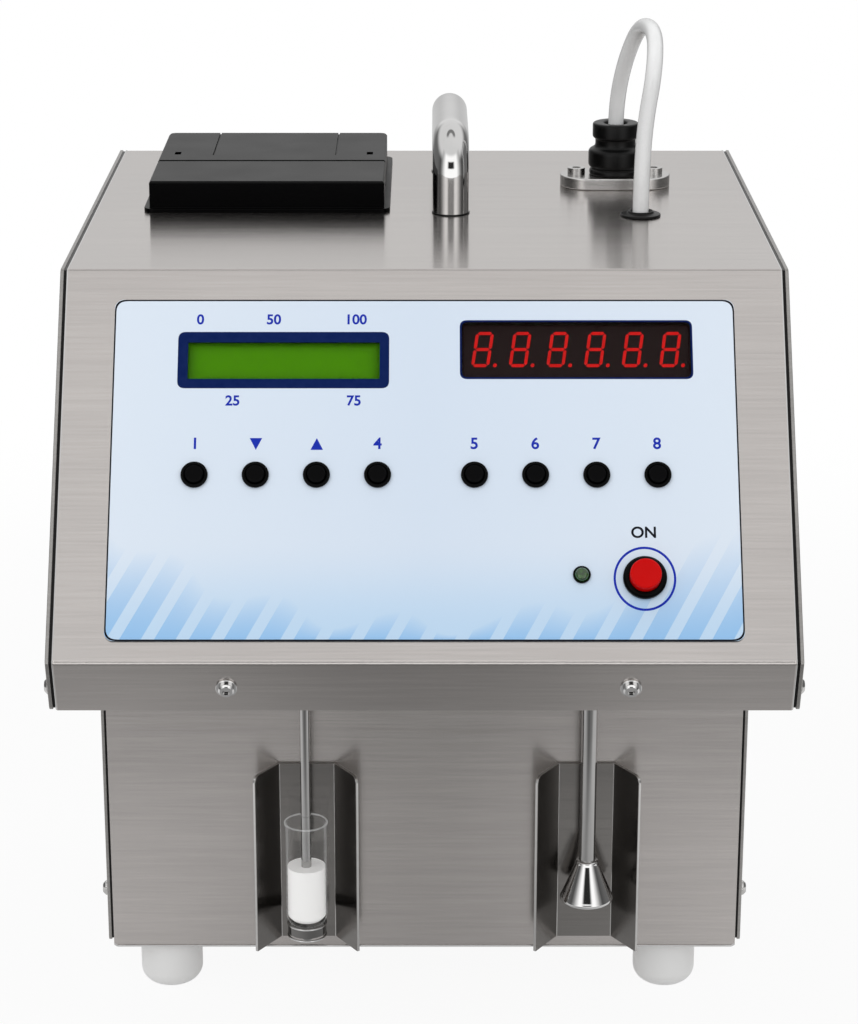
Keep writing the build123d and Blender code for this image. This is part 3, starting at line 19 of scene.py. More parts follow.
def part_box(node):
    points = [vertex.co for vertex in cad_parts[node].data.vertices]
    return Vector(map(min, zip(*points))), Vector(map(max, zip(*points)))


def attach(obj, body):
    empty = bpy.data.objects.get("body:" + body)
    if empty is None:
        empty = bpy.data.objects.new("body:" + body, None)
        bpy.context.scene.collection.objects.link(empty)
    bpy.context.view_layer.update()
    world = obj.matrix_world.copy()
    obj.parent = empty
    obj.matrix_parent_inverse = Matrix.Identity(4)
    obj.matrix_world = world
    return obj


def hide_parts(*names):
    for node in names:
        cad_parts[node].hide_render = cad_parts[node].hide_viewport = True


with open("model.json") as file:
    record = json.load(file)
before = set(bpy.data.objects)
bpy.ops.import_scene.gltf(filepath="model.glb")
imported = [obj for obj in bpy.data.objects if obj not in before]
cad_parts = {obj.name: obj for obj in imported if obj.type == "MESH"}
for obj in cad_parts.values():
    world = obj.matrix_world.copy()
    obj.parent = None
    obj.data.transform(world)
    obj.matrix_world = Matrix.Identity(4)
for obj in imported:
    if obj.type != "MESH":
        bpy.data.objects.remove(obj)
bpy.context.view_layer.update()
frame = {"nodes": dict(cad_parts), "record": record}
log = logging.getLogger("milk_analyzer")

MM = 0.001
Pair = tuple[float, float]
Triple = tuple[float, float, float]
Colour = Triple
Socket = bpy.types.NodeSocket
Material = bpy.types.Material
Piece = bpy.types.Object


class Grain(Enum):
    """Way of the brushing lines: stretch of their noise, and way that highlights spread."""

    ACROSS = ((0.02, 1.0, 1.0), (0.0, 1.0, 0.25))
    FORE_AFT = ((1.0, 0.02, 1.0), (0.0, 0.0, 1.0))


# Node trees


class Graph:
    """A node tree under construction, with helpers for sums and blends."""

    def __init__(self, tree: bpy.types.NodeTree) -> None:
        """Takes the tree that the helpers add to."""
        self.nodes = tree.nodes
        self.links = tree.links

    def put(self, socket: Socket, value: Socket | float | Sequence[float]) -> None:
        """Links a value into a socket, or sets the socket's constant.

        Args:
            socket: The input to feed.
            value: An output to link, or a constant.
        """
        if isinstance(value, Socket):
            self.links.new(value, socket)
        else:
            socket.default_value = value

    def noise(
        self, vector: Socket, scale: Socket | float, detail: float, roughness: float = 0.5
    ) -> Socket:
        """Soft noise between 0 and 1.

        Args:
            vector: Coordinates that the pattern is drawn on.
            scale: How fine the noise is.
            detail: Number of finer layers.
            roughness: Weight of the finer layers.

        Returns:
            The noise's value.
        """
        node = self.nodes.new("ShaderNodeTexNoise")
        values = {"Vector": vector, "Scale": scale, "Detail": detail, "Roughness": roughness}
        for label, value in values.items():
            self.put(node.inputs[label], value)
        return node.outputs["Fac"]

    def split(self, vector: Socket) -> list[Socket]:
        """The x, y and z of a vector.

        Args:
            vector: The vector to take apart.

        Returns:
            Its three parts, in order.
        """
        node = self.nodes.new("ShaderNodeSeparateXYZ")
        self.links.new(vector, node.inputs[0])
        return list(node.outputs)

    def ramp(self, factor: Socket, stops: Sequence[tuple[float, Colour]]) -> Socket:
        """Colours along a factor.

        Args:
            factor: Place along the ramp.
            stops: Place and colour of each stop, in order.

        Returns:
            The colour at that place.
        """
        node = self.nodes.new("ShaderNodeValToRGB")
        while len(node.color_ramp.elements) < len(stops):
            node.color_ramp.elements.new(0.5)
        for element, (place, colour) in zip(node.color_ramp.elements, stops):
            element.position = place
            element.color = (*colour, 1.0)
        self.links.new(factor, node.inputs["Fac"])
        return node.outputs["Color"]

    def between(
        self, value: Socket, low: float, high: float, start: float = 0.0, end: float = 1.0,
        kind: str = "LINEAR",
    ) -> Socket:
        """A value that goes from low to high while another goes from start to end.

        Args:
            value: The value that is followed.
            low: Result at the start.
            high: Result at the end.
            start: Value at which the change starts.
            end: Value at which it ends.
            kind: Blender's name for the way between.

        Returns:
            The new value, held at low and high outside the span.
        """
        node = self.nodes.new("ShaderNodeMapRange")
        node.interpolation_type = kind
        labels = ("Value", "From Min", "From Max", "To Min", "To Max")
        for label, number in zip(labels, (value, start, end, low, high)):
            self.put(node.inputs[label], number)
        return node.outputs["Result"]

    def eased(
        self, value: Socket, start: float, end: float, low: float = 0.0, high: float = 1.0
    ) -> Socket:
        """A value that eases from low to high while another goes from start to end."""
        return self.between(value, low, high, start, end, "SMOOTHSTEP")

    def band(self, value: Socket, foot: Pair, top: Pair, share: float) -> Socket:
        """A band that eases in over its foot and out over its top, as high as its share."""
        return self.math("MULTIPLY", self.eased(value, *foot), self.eased(value, *top, share, 0.0))

    def math(
        self, operation: str, first: Socket | float, second: Socket | float = 0.0,
        third: Socket | float = 0.0,
    ) -> Socket:
        """One arithmetic step on sockets or numbers.

        Args:
            operation: Blender's name for the step.
            first: First value.
            second: Second value.
            third: Third value, where the step has one.

        Returns:
            The result.
        """
        node = self.nodes.new("ShaderNodeMath")
        node.operation = operation
        for socket, value in zip(node.inputs, (first, second, third)):
            self.put(socket, value)
        return node.outputs[0]

    def blend(self, factor: Socket, low: Socket | Colour, high: Socket | Colour) -> Socket:
        """Mixes two colours by a factor.

        Args:
            factor: 0 for the first colour, 1 for the second.
            low: First colour.
            high: Second colour.

        Returns:
            The mixed colour.
        """
        node = self.nodes.new("ShaderNodeMix")
        node.data_type = "RGBA"
        self.links.new(factor, node.inputs["Factor"])
        for socket, value in ((node.inputs[6], low), (node.inputs[7], high)):
            self.put(socket, value if isinstance(value, Socket) else (*value, 1.0))
        return node.outputs[2]

    def sight(self) -> tuple[Socket, Socket]:
        """Masks of rays straight from the eye and of rays off a mirror, also through glass.

        Returns:
            The mask of straight rays and the mask of mirrored ones.
        """
        path = self.nodes.new("ShaderNodeLightPath").outputs
        through = path["Is Transmission Ray"]
        mirrored = self.math("GREATER_THAN", path["Glossy Depth"], 0.5)
        bounced = self.math("MULTIPLY", through, mirrored)
        direct = self.math("SUBTRACT", through, bounced)
        seen = self.math("MAXIMUM", path["Is Camera Ray"], direct)
        return seen, self.math("MAXIMUM", path["Is Glossy Ray"], bounced)


Outputs = dict[str, Socket]


def brushing(graph: Graph, vector: Socket, scale: Socket) -> Outputs:
    """Streaks of brushed sheet: two noises, long along one axis and fine across it.

    Args:
        graph: The tree that gets the nodes.
        vector: Coordinates that the pattern is drawn on.
        scale: How fine the streaks are.

    Returns:
        The streaks and their height.
    """
    fine = graph.noise(vector, scale, 3.0)
    coarse = graph.noise(vector, graph.math("MULTIPLY", scale, 0.22), 2.0)
    streak = graph.math("MULTIPLY_ADD", fine, 0.6, graph.math("MULTIPLY", coarse, 0.4))
    return {"Streak": streak, "Height": fine}


def smudges(graph: Graph, vector: Socket, scale: Socket) -> Outputs:
    """Soft patches, as handling and cleaning leave them, between 0 and 1."""
    return {"Patch": graph.between(graph.noise(vector, scale, 4.0, 0.6), 0.0, 1.0, 0.3, 0.7)}


def moulding(graph: Graph, vector: Socket, scale: Socket) -> Outputs:
    """Fine even grain of a moulded surface, as a height and a mask.

    Args:
        graph: The tree that gets the nodes.
        vector: Coordinates that the pattern is drawn on.
        scale: How fine the grain is.

    Returns:
        The grain's height and its patches.
    """
    grain = graph.nodes.new("ShaderNodeTexVoronoi")
    graph.put(grain.inputs["Vector"], vector)
    graph.put(grain.inputs["Scale"], scale)
    return {"Height": grain.outputs["Distance"], "Patch": graph.noise(vector, 40.0, 3.0)}


def make_group(
    work: Callable[[Graph, Socket, Socket], Outputs], scale: float
) -> bpy.types.ShaderNodeTree:
    """Makes a shared node group that turns a vector and a scale into numbers.

    Args:
        work: Takes the graph, the vector and the scale, and returns each output by name.
        scale: Default of the scale.

    Returns:
        The group, named after the work.
    """
    tree = bpy.data.node_groups.new(work.__name__, "ShaderNodeTree")
    ends = tree.interface
    ends.new_socket(name="Vector", in_out="INPUT", socket_type="NodeSocketVector")
    size = ends.new_socket(name="Scale", in_out="INPUT", socket_type="NodeSocketFloat")
    size.default_value = scale
    graph = Graph(tree)
    vector, given = graph.nodes.new("NodeGroupInput").outputs[:2]
    results = work(graph, vector, given)
    for label in results:
        ends.new_socket(name=label, in_out="OUTPUT", socket_type="NodeSocketFloat")
    out = graph.nodes.new("NodeGroupOutput")
    for label, value in results.items():
        graph.links.new(value, out.inputs[label])
    return tree


GROUPS = {
    "brushing": make_group(brushing, 1600.0),
    "smudges": make_group(smudges, 9.0),
    "moulding": make_group(moulding, 2500.0),
}


class Sheet(Graph):
    """A material under construction: a Principled shader and helpers to feed it."""

    def __init__(self, name: str) -> None:
        """Starts a material with one Principled shader.

        Args:
            name: Name of the material.
        """
        self.material = bpy.data.materials.new(name)
        self.material.use_nodes = True
        super().__init__(self.material.node_tree)
        self.shader = self.nodes["Principled BSDF"]
        self.coordinates = self.nodes.new("ShaderNodeTexCoord").outputs["Object"]

    def set(self, **values: float | Sequence[float]) -> None:
        """Sets constants on the shader's own sockets, underscores standing for spaces.

        Args:
            values: Constant for each socket, by the socket's name.
        """
        for key, value in values.items():
            socket = self.shader.inputs[key.replace("_", " ")]
            if socket.type == "RGBA" and len(value) == 3:
                value = (*value, 1.0)
            socket.default_value = value

    def group(self, name: str, vector: Socket, scale: float) -> bpy.types.Node:
        """Places a shared group with its scale.

        Args:
            name: Name of the shared group.
            vector: Coordinates that the pattern is drawn on.
            scale: How fine its pattern is.

        Returns:
            The group's node.
        """
        node = self.nodes.new("ShaderNodeGroup")
        node.node_tree = GROUPS[name]
        node.inputs["Scale"].default_value = scale
        self.links.new(vector, node.inputs["Vector"])
        return node

    def patches(self, scale: float) -> Socket:
        """Soft patches over the surface, between 0 and 1."""
        return self.group("smudges", self.coordinates, scale).outputs["Patch"]

    def uneven(self, scale: float, roughness: Pair) -> Socket:
        """Feeds a patchy roughness, and returns the patches.

        Args:
            scale: How fine the patches are.
            roughness: Roughness between and on the patches.

        Returns:
            The patches.
        """
        patch = self.patches(scale)
        self.feed("Roughness", self.between(patch, *roughness))
        return patch

    def facing(self) -> Socket:
        """0 where the surface faces the eye, up to 1 where it is seen edge on."""
        return self.nodes.new("ShaderNodeLayerWeight").outputs["Facing"]

    def mapped(self, scale: Sequence[float]) -> Socket:
        """Object coordinates stretched by a scale for each axis.

        Args:
            scale: Stretch along x, y and z.

        Returns:
            The stretched coordinates.
        """
        mapping = self.nodes.new("ShaderNodeMapping")
        mapping.inputs["Scale"].default_value = scale
        self.links.new(self.coordinates, mapping.inputs["Vector"])
        return mapping.outputs["Vector"]

    def feed(self, socket: str, value: Socket) -> None:
        """Links a value into the shader."""
        self.links.new(value, self.shader.inputs[socket])

    def bump(self, height: Socket, strength: float, distance: float) -> None:
        """Feeds the normal from a height.

        Args:
            height: Height over the surface.
            strength: Share of the effect, up to 1.
            distance: Height of a full step, in metres.
        """
        node = self.nodes.new("ShaderNodeBump")
        node.inputs["Strength"].default_value = strength
        node.inputs["Distance"].default_value = distance
        self.links.new(height, node.inputs["Height"])
        self.feed("Normal", node.outputs["Normal"])

    def along(self, direction: Sequence[float]) -> None:
        """Points the shader's stretched highlights along a direction.

        Args:
            direction: Direction in x, y and z.
        """
        node = self.nodes.new("ShaderNodeCombineXYZ")
        for socket, share in zip(node.inputs, direction):
            socket.default_value = share
        self.feed("Tangent", node.outputs[0])


# Finishes


@dataclass(frozen=True)
class Finish:
    """What every finish has: a name, and a way to become a material."""

    name: str

    def fill(self, sheet: Sheet) -> None:
        """Feeds the shader; each finish has its own way."""
        raise NotImplementedError

    def make(self) -> Material:
        """Builds the material.

        Returns:
            The new material.
        """
        sheet = Sheet(self.name)
        self.fill(sheet)
        return sheet.material


@dataclass(frozen=True)
class BrushedSteel(Finish):
    """Stainless sheet with straight brushing lines."""

    light: Colour = (0.60, 0.568, 0.548)
    dark: Colour = (0.50, 0.473, 0.457)
    grain: Grain = Grain.ACROSS
    scale: float = 1500.0
    roughness: Pair = (0.13, 0.21)
    depth: float = 0.00001
    stretch: float = 0.85
    patch_scale: float = 7.0
    patch_share: float = 0.3
    tones: Pair = (0.35, 0.95)
    line_strength: float = 0.22

    def fill(self, sheet: Sheet) -> None:
        """Feeds the shader.

        Args:
            sheet: The material being built.
        """
        lines, spread = self.grain.value
        streaks = sheet.group("brushing", sheet.mapped(lines), self.scale)
        patch = sheet.patches(self.patch_scale)
        tone = sheet.math("MULTIPLY_ADD", patch, self.patch_share, streaks.outputs["Streak"])
        sheet.set(Metallic=1.0, Anisotropic=self.stretch)
        sheet.along(spread)
        sheet.feed("Base Color", sheet.ramp(tone, list(zip(self.tones, (self.dark, self.light)))))
        sheet.feed("Roughness", sheet.between(tone, *self.roughness))
        sheet.bump(streaks.outputs["Height"], self.line_strength, self.depth)


@dataclass(frozen=True)
class PolishedSteel(Finish):
    """Mirror-polished steel with faint wiping marks."""

    colour: Colour = (0.68, 0.675, 0.67)
    roughness: Pair = (0.03, 0.08)
    patch_scale: float = 60.0
    dulled: float = 0.93

    def fill(self, sheet: Sheet) -> None:
        """Feeds the shader.

        Args:
            sheet: The material being built.
        """
        patch = sheet.uneven(self.patch_scale, self.roughness)
        sheet.set(Metallic=1.0)
        dull = tuple(share * self.dulled for share in self.colour)
        sheet.feed("Base Color", sheet.blend(patch, self.colour, dull))


@dataclass(frozen=True)
class Moulded(Finish):
    """Moulded plastic or rubber with a fine grain."""

    colour: Colour
    roughness: Pair = (0.3, 0.45)
    grain_scale: float = 2500.0
    grain_strength: float = 0.12
    grain_depth: float = 0.00004
    specular: float = 0.5
    coat: float = 0.0
    tint: float = 1.25
    # glow is painted light: an emission that brightens a part which is no lamp.
    glow: float = 0.0

    def fill(self, sheet: Sheet) -> None:
        """Feeds the shader.

        Args:
            sheet: The material being built.
        """
        grain = sheet.group("moulding", sheet.coordinates, self.grain_scale)
        lighter = tuple(min(1.0, share * self.tint) for share in self.colour)
        sheet.set(
            Specular_IOR_Level=self.specular, Coat_Weight=self.coat,
            Emission_Color=self.colour, Emission_Strength=self.glow,
        )
        sheet.feed("Base Color", sheet.blend(grain.outputs["Patch"], self.colour, lighter))
        sheet.feed("Roughness", sheet.between(grain.outputs["Patch"], *self.roughness))
        sheet.bump(grain.outputs["Height"], self.grain_strength, self.grain_depth)


@dataclass(frozen=True)
class ClearGlass(Finish):
    """Clear glass or tinted clear plastic."""

    colour: Colour = (0.98, 0.99, 0.99)
    roughness: Pair = (0.0, 0.015)
    index: float = 1.45
    patch_scale: float = 120.0

    def fill(self, sheet: Sheet) -> None:
        """Feeds the shader, with faint smears in its roughness."""
        sheet.uneven(self.patch_scale, self.roughness)
        sheet.set(Base_Color=self.colour, Transmission_Weight=1.0, IOR=self.index)


@dataclass(frozen=True)
class ThinGlass(Finish):
    """Thin clear wall, nearly unseen face on, with a painted highlight along its edges: pale,
    glossy and glowing there.
    """

    colour: Colour = (0.82, 0.83, 0.83)
    clear: float = 0.015
    edge: float = 0.95
    glow: float = 0.15
    falloff: float = 7.0
    roughness: Pair = (0.02, 0.05)
    patch_scale: float = 120.0

    def fill(self, sheet: Sheet) -> None:
        """Feeds the shader: its pale cover, a painted highlight, grows with a power of the way to
        edge-on.

        Args:
            sheet: The material being built.
        """
        cover = sheet.math("POWER", sheet.facing(), self.falloff)
        # The emission is a painted glow; the glass is no lamp.
        sheet.set(
            Base_Color=self.colour, Specular_IOR_Level=0.9,
            Emission_Color=self.colour, Emission_Strength=self.glow,
        )
        sheet.feed("Alpha", sheet.between(cover, self.clear, self.edge))
        sheet.uneven(self.patch_scale, self.roughness)


@dataclass(frozen=True)
class MilkyHose(Finish):
    """Milky translucent silicone with painted shade: greyer where the wall is seen edge on."""

    colour: Colour = (0.94, 0.945, 0.945)
    cloudy: float = 0.92
    # wall is the share of the colour kept in the painted shade at the edges.
    wall: float = 0.66
    wall_facing: Pair = (0.45, 0.85)
    roughness: Pair = (0.22, 0.34)
    patch_scale: float = 90.0

    def fill(self, sheet: Sheet) -> None:
        """Feeds the shader: an uneven milky body under a glossy skin.

        Args:
            sheet: The material being built.
        """
        patch = sheet.uneven(self.patch_scale, self.roughness)
        cloudy = tuple(share * self.cloudy for share in self.colour)
        wall = tuple(share * self.wall for share in self.colour)
        body = sheet.blend(patch, self.colour, cloudy)
        sheet.set(Coat_Weight=0.6, Coat_Roughness=0.06, Specular_IOR_Level=0.3)
        # Painted shade: the colour greys towards the edges that are seen edge on.
        edge = sheet.eased(sheet.facing(), *self.wall_facing)
        sheet.feed("Base Color", sheet.blend(edge, body, wall))


@dataclass(frozen=True)
class Ink(Finish):
    """Printed ink, slightly uneven, with the gloss of the film over it."""

    colour: Colour
    roughness: Pair = (0.28, 0.36)
    wear: Pair = (1.12, 0.004)
    patch_scale: float = 400.0

    def fill(self, sheet: Sheet) -> None:
        """Feeds the shader.

        Args:
            sheet: The material being built.
        """
        patch = sheet.uneven(self.patch_scale, self.roughness)
        gain, lift = self.wear
        worn = tuple(min(1.0, share * gain + lift) for share in self.colour)
        sheet.set(Specular_IOR_Level=0.06)
        sheet.feed("Base Color", sheet.blend(patch, self.colour, worn))


@dataclass(frozen=True)
class Lamp(Finish):
    """A lit face whose glow varies a little over it."""

    colour: Colour
    strength: float
    roughness: float = 0.35
    dimmed: float = 0.75
    patch_scale: float = 300.0

    def fill(self, sheet: Sheet) -> None:
        """Feeds the shader.

        Args:
            sheet: The material being built.
        """
        patch = sheet.patches(self.patch_scale)
        dim = tuple(share * self.dimmed for share in self.colour)
        glow = sheet.blend(patch, self.colour, dim)
        sheet.set(Emission_Strength=self.strength, Roughness=self.roughness)
        sheet.feed("Base Color", glow)
        sheet.feed("Emission Color", glow)


@dataclass(frozen=True)
class Board(Finish):
    """Lacquered circuit board with faint traces."""

    lacquer: Colour = (0.015, 0.12, 0.05)
    trace: Colour = (0.05, 0.22, 0.10)
    trace_scale: float = 260.0
    roughness: Pair = (0.25, 0.4)
    patch_scale: float = 40.0

    def fill(self, sheet: Sheet) -> None:
        """Feeds the shader.

        Args:
            sheet: The material being built.
        """
        brick = sheet.nodes.new("ShaderNodeTexBrick")
        brick.inputs["Scale"].default_value = self.trace_scale
        colours = {"Color1": self.lacquer, "Color2": self.trace, "Mortar": self.trace}
        for label, colour in colours.items():
            brick.inputs[label].default_value = (*colour, 1.0)
        sheet.links.new(sheet.coordinates, brick.inputs["Vector"])
        sheet.feed("Base Color", brick.outputs["Color"])
        sheet.uneven(self.patch_scale, self.roughness)


@dataclass(frozen=True)
class LeaningFace:
    """Flat coordinates on the leaning front: x across, drop down the face, height above it."""

    fold_y: float
    fold_z: float
    run: float
    rise: float

    @property
    def length(self) -> float:
        """Length of the face from its upper to its lower fold."""
        return math.hypot(self.run, self.rise)

    @property
    def down(self) -> np.ndarray:
        """Unit vector down the face."""
        return np.array([0.0, -self.run, -self.rise]) / self.length

    @property
    def normal(self) -> np.ndarray:
        """Unit vector out of the face."""
        return np.array([0.0, -self.rise, self.run]) / self.length

    @property
    def origin(self) -> np.ndarray:
        """Middle of the upper fold."""
        return np.array([0.0, self.fold_y, self.fold_z])

    def points(self, flat: np.ndarray, height: float) -> np.ndarray:
        """Places flat points (x, drop) on the face: origin plus x, drop down and height out.

        Args:
            flat: One (x, drop) pair in each row, in metres.
            height: Height above the face, in metres.

        Returns:
            One point in each row.
        """
        across = np.zeros((len(flat), 3))
        across[:, 0] = flat[:, 0]
        return self.origin + across + np.outer(flat[:, 1], self.down) + height * self.normal

    def matrix(self, x: float, drop: float, height: float) -> Matrix:
        """Matrix that lays an upright XY drawing on the face at a place.

        Args:
            x: Place across the face, in metres.
            drop: Place down the face, in metres.
            height: Height above the face, in metres.

        Returns:
            The matrix.
        """
        place = self.points(np.array([[x, drop]]), height)[0]
        axes = np.column_stack([[1.0, 0.0, 0.0], -self.down, self.normal])
        turned = Matrix(axes.tolist()).to_4x4()
        turned.translation = Vector(place)
        return turned


def face_place(sheet: Sheet, face: LeaningFace, start: float) -> tuple[Socket, Socket]:
    """Place on the leaning face: x across it, and the drop down it from a start.

    Args:
        sheet: The material being built.
        face: The leaning face that it lies on.
        start: Drop at which the counting starts, in metres.

    Returns:
        The place across and the drop, both in metres.
    """
    dot = sheet.nodes.new("ShaderNodeVectorMath")
    dot.operation = "DOT_PRODUCT"
    dot.inputs[1].default_value = face.down
    sheet.links.new(sheet.coordinates, dot.inputs[0])
    base = float(face.origin @ face.down)
    drop = sheet.math("SUBTRACT", dot.outputs["Value"], base + start)
    return sheet.split(sheet.coordinates)[0], drop


@dataclass(frozen=True)
class PanelFilm(Finish):
    """Printed film of the front overlay: a pale field with slanted bars along its foot."""

    face: LeaningFace
    half_width: float
    start: float
    height: float
    field_colour: Colour = (0.70, 0.80, 0.93)
    edge_colour: Colour = (0.76, 0.85, 0.96)
    band_colour: Colour = (0.47, 0.69, 0.92)
    bar_colour: Colour = (0.22, 0.50, 0.86)
    bar_pitch: float = 0.0115
    bar_slant: float = 0.55
    bar_share: float = 0.62
    bar_depth: float = 0.8
    bar_reach: Triple = (0.034, 0.006, 0.004)
    reach_power: float = 2.2
    wave_pace: float = 1.7
    haze_height: float = 0.036
    haze_depth: float = 0.75
    roughness: Pair = (0.3, 0.42)
    patch_scale: float = 30.0

    def fill(self, sheet: Sheet) -> None:
        """Feeds the shader from the face's own coordinates.

        Bars repeat along x plus a slant times the drop. Their reach grows from the
        middle of the panel to its sides, and they fade out upwards.

        Args:
            sheet: The material being built.
        """
        x, drop = face_place(sheet, self.face, self.start)
        foot = sheet.math("SUBTRACT", self.height, drop)
        side = sheet.math("DIVIDE", sheet.math("ABSOLUTE", x), self.half_width)
        phase = sheet.math(
            "DIVIDE", sheet.math("MULTIPLY_ADD", drop, self.bar_slant, x), self.bar_pitch
        )
        step = sheet.math("FRACT", phase)
        wave = sheet.math("SINE", sheet.math("MULTIPLY", phase, self.wave_pace))
        growth, least, swing = self.bar_reach
        reach = sheet.math(
            "MULTIPLY_ADD", sheet.math("POWER", side, self.reach_power), growth,
            sheet.math("MULTIPLY_ADD", wave, swing, least),
        )
        rise = sheet.math("DIVIDE", foot, reach)
        inside = sheet.math("SUBTRACT", 1.0, rise)
        fade = sheet.nodes.new("ShaderNodeClamp")
        sheet.links.new(inside, fade.inputs["Value"])
        edge = sheet.math("LESS_THAN", step, self.bar_share)
        faded = sheet.math("MULTIPLY", edge, fade.outputs[0])
        bars = sheet.math("MULTIPLY", faded, self.bar_depth)
        haze = sheet.eased(foot, 0.0, self.haze_height, self.haze_depth, 0.0)
        field_tone = sheet.blend(side, self.field_colour, self.edge_colour)
        banded = sheet.blend(haze, field_tone, self.band_colour)
        sheet.feed("Base Color", sheet.blend(bars, banded, self.bar_colour))
        sheet.uneven(self.patch_scale, self.roughness)
        sheet.set(Coat_Weight=0.25, Coat_Roughness=0.15)


@dataclass(frozen=True)
class DisplayGlass(Finish):
    """Backlit green glass with painted shade towards its edges, for the shadow of the recess round
    the window.
    """

    face: LeaningFace
    middle: Pair
    half: Pair
    lit: Colour = (0.046, 0.172, 0.001)
    # shade is the colour of the painted shade at the window's edges, for the shadow of the recess.
    shade: Colour = (0.026, 0.105, 0.001)
    powers: Pair = (14.0, 5.0)

    def fill(self, sheet: Sheet) -> None:
        """Feeds the shader: the painted shade grows with a high power of the way to an edge.

        Args:
            sheet: The material being built.
        """
        x, v = face_place(sheet, self.face, self.middle[1])
        u = sheet.math("SUBTRACT", x, self.middle[0])
        reach = [
            sheet.math("POWER", sheet.math("ABSOLUTE", sheet.math("DIVIDE", way, half)), power)
            for way, half, power in zip((u, v), self.half, self.powers)
        ]
        tone = sheet.ramp(sheet.math("MAXIMUM", *reach), [(0.0, self.lit), (0.9, self.shade)])
        sheet.feed("Base Color", tone)
        sheet.feed("Emission Color", tone)
        sheet.set(Emission_Strength=0.1, Roughness=0.35, Specular_IOR_Level=0.03)


# Shapes worked out as arrays


def soft_outline(
    corners: np.ndarray, radius: float, steps: int = 5, closed: bool = False
) -> np.ndarray:
    """Rounds the corners of a polyline.

    Each corner gives way to a quadratic curve between two points that lie the radius,
    or just under half a run, from it: (1-t)^2 A + 2t(1-t) B + t^2 C.

    Args:
        corners: Corner points, one in each row.
        radius: Distance from a corner at which its curve starts.
        steps: Steps in each curve.
        closed: Whether the last corner joins the first.

    Returns:
        Points of the rounded line.
    """
    corners = np.asarray(corners, float)
    before, after = np.roll(corners, 1, 0), np.roll(corners, -1, 0)
    t = np.linspace(0.0, 1.0, steps + 1)[None, :, None]

    def reach(other: np.ndarray) -> np.ndarray:
        """Point on the run to a neighbour, the radius or 0.49 of the run away.

        Args:
            other: The neighbour of each corner.

        Returns:
            One point for each corner.
        """
        run = other - corners
        length = np.maximum(np.linalg.norm(run, axis=1, keepdims=True), 1e-12)
        return corners + run / length * np.minimum(radius, 0.49 * length)

    start, end, middle = reach(before)[:, None], reach(after)[:, None], corners[:, None]
    curve = (1 - t) ** 2 * start + 2 * t * (1 - t) * middle + t**2 * end
    if closed:
        return curve.reshape(-1, corners.shape[1])
    inner = curve[1:-1].reshape(-1, corners.shape[1])
    return np.vstack([corners[:1], inner, corners[-1:]])


def grid_faces(rows: int, columns: int, wrap_rows: bool, wrap_columns: bool) -> np.ndarray:
    """Quads of a grid whose points are numbered row by row.

    Args:
        rows: Number of rows.
        columns: Number of columns.
        wrap_rows: Whether the last row joins the first.
        wrap_columns: Whether the last column joins the first.

    Returns:
        Four point numbers for each quad.
    """
    row = np.arange(rows if wrap_rows else rows - 1)
    column = np.arange(columns if wrap_columns else columns - 1)
    r, c = np.meshgrid(row, column, indexing="ij")
    r2, c2 = (r + 1) % rows, (c + 1) % columns
    quads = [r * columns + c, r * columns + c2, r2 * columns + c2, r2 * columns + c]
    return np.stack(quads, -1).reshape(-1, 4)


def place_in_scene(name: str, data: bpy.types.ID) -> Piece:
    """Makes an object of some data and links it to the scene.

    Args:
        name: Name of the object.
        data: What the object shows.

    Returns:
        The new object.
    """
    piece = bpy.data.objects.new(name, data)
    bpy.context.scene.collection.objects.link(piece)
    return piece


def smooth_shaded(mesh: bpy.types.Mesh, angle: float) -> None:
    """Shades a mesh smooth, with sharp edges above an angle in degrees."""
    mesh.shade_smooth()
    mesh.set_sharp_from_angle(angle=math.radians(angle))


def make_piece(
    name: str,
    points: np.ndarray,
    faces: Iterable[Sequence[int]],
    smooth: float | None = 40.0,
) -> Piece:
    """Puts points and faces into a mesh object, with its normals pointing outwards.

    Args:
        name: Name of the piece.
        points: One point in each row, in metres.
        faces: Point numbers of each face.
        smooth: Angle in degrees above which an edge stays sharp, or None for flat faces.

    Returns:
        The new object.
    """
    mesh = bpy.data.meshes.new(name)
    mesh.from_pydata(points.tolist(), [], [list(map(int, face)) for face in faces])
    shell = bmesh.new()
    shell.from_mesh(mesh)
    bmesh.ops.remove_doubles(shell, verts=shell.verts, dist=1e-7)
    bmesh.ops.recalc_face_normals(shell, faces=shell.faces)
    shell.to_mesh(mesh)
    shell.free()
    if smooth is not None:
        smooth_shaded(mesh, smooth)
    return place_in_scene(name, mesh)


def turned(
    name: str, profile: np.ndarray, place: Sequence[float], axis: np.ndarray | None = None,
    segments: int = 72, smooth: float = 40.0,
) -> Piece:
    """Turns a profile of (radius, height) rows about an axis through a place.

    A point is place plus radius times (cos a, sin a) across the axis plus height along
    it. Rows of radius zero shrink to one point, so ends on the axis are closed.

    Args:
        name: Name of the piece.
        profile: One (radius, height) pair in each row, in metres.
        place: Point from which the heights count.
        axis: The axis, or None for upright.
        segments: Number of steps round.
        smooth: Angle in degrees above which an edge stays sharp.

    Returns:
        The new object.
    """
    axis = np.array([0.0, 0.0, 1.0]) if axis is None else np.asarray(axis)
    side = np.array([1.0, 0.0, 0.0])
    other = np.cross(axis, side)
    angle = np.linspace(0.0, 2 * math.pi, segments, endpoint=False)
    ring = np.outer(np.cos(angle), side) + np.outer(np.sin(angle), other)
    radius, height = profile[:, 0], profile[:, 1]
    points = (
        np.asarray(place)
        + radius[:, None, None] * ring[None]
        + height[:, None, None] * axis
    ).reshape(-1, 3)
    wrap = bool(radius[0] > 0 and radius[-1] > 0)
    faces = grid_faces(len(profile), segments, wrap, True)
    return make_piece(name, points, faces, smooth)


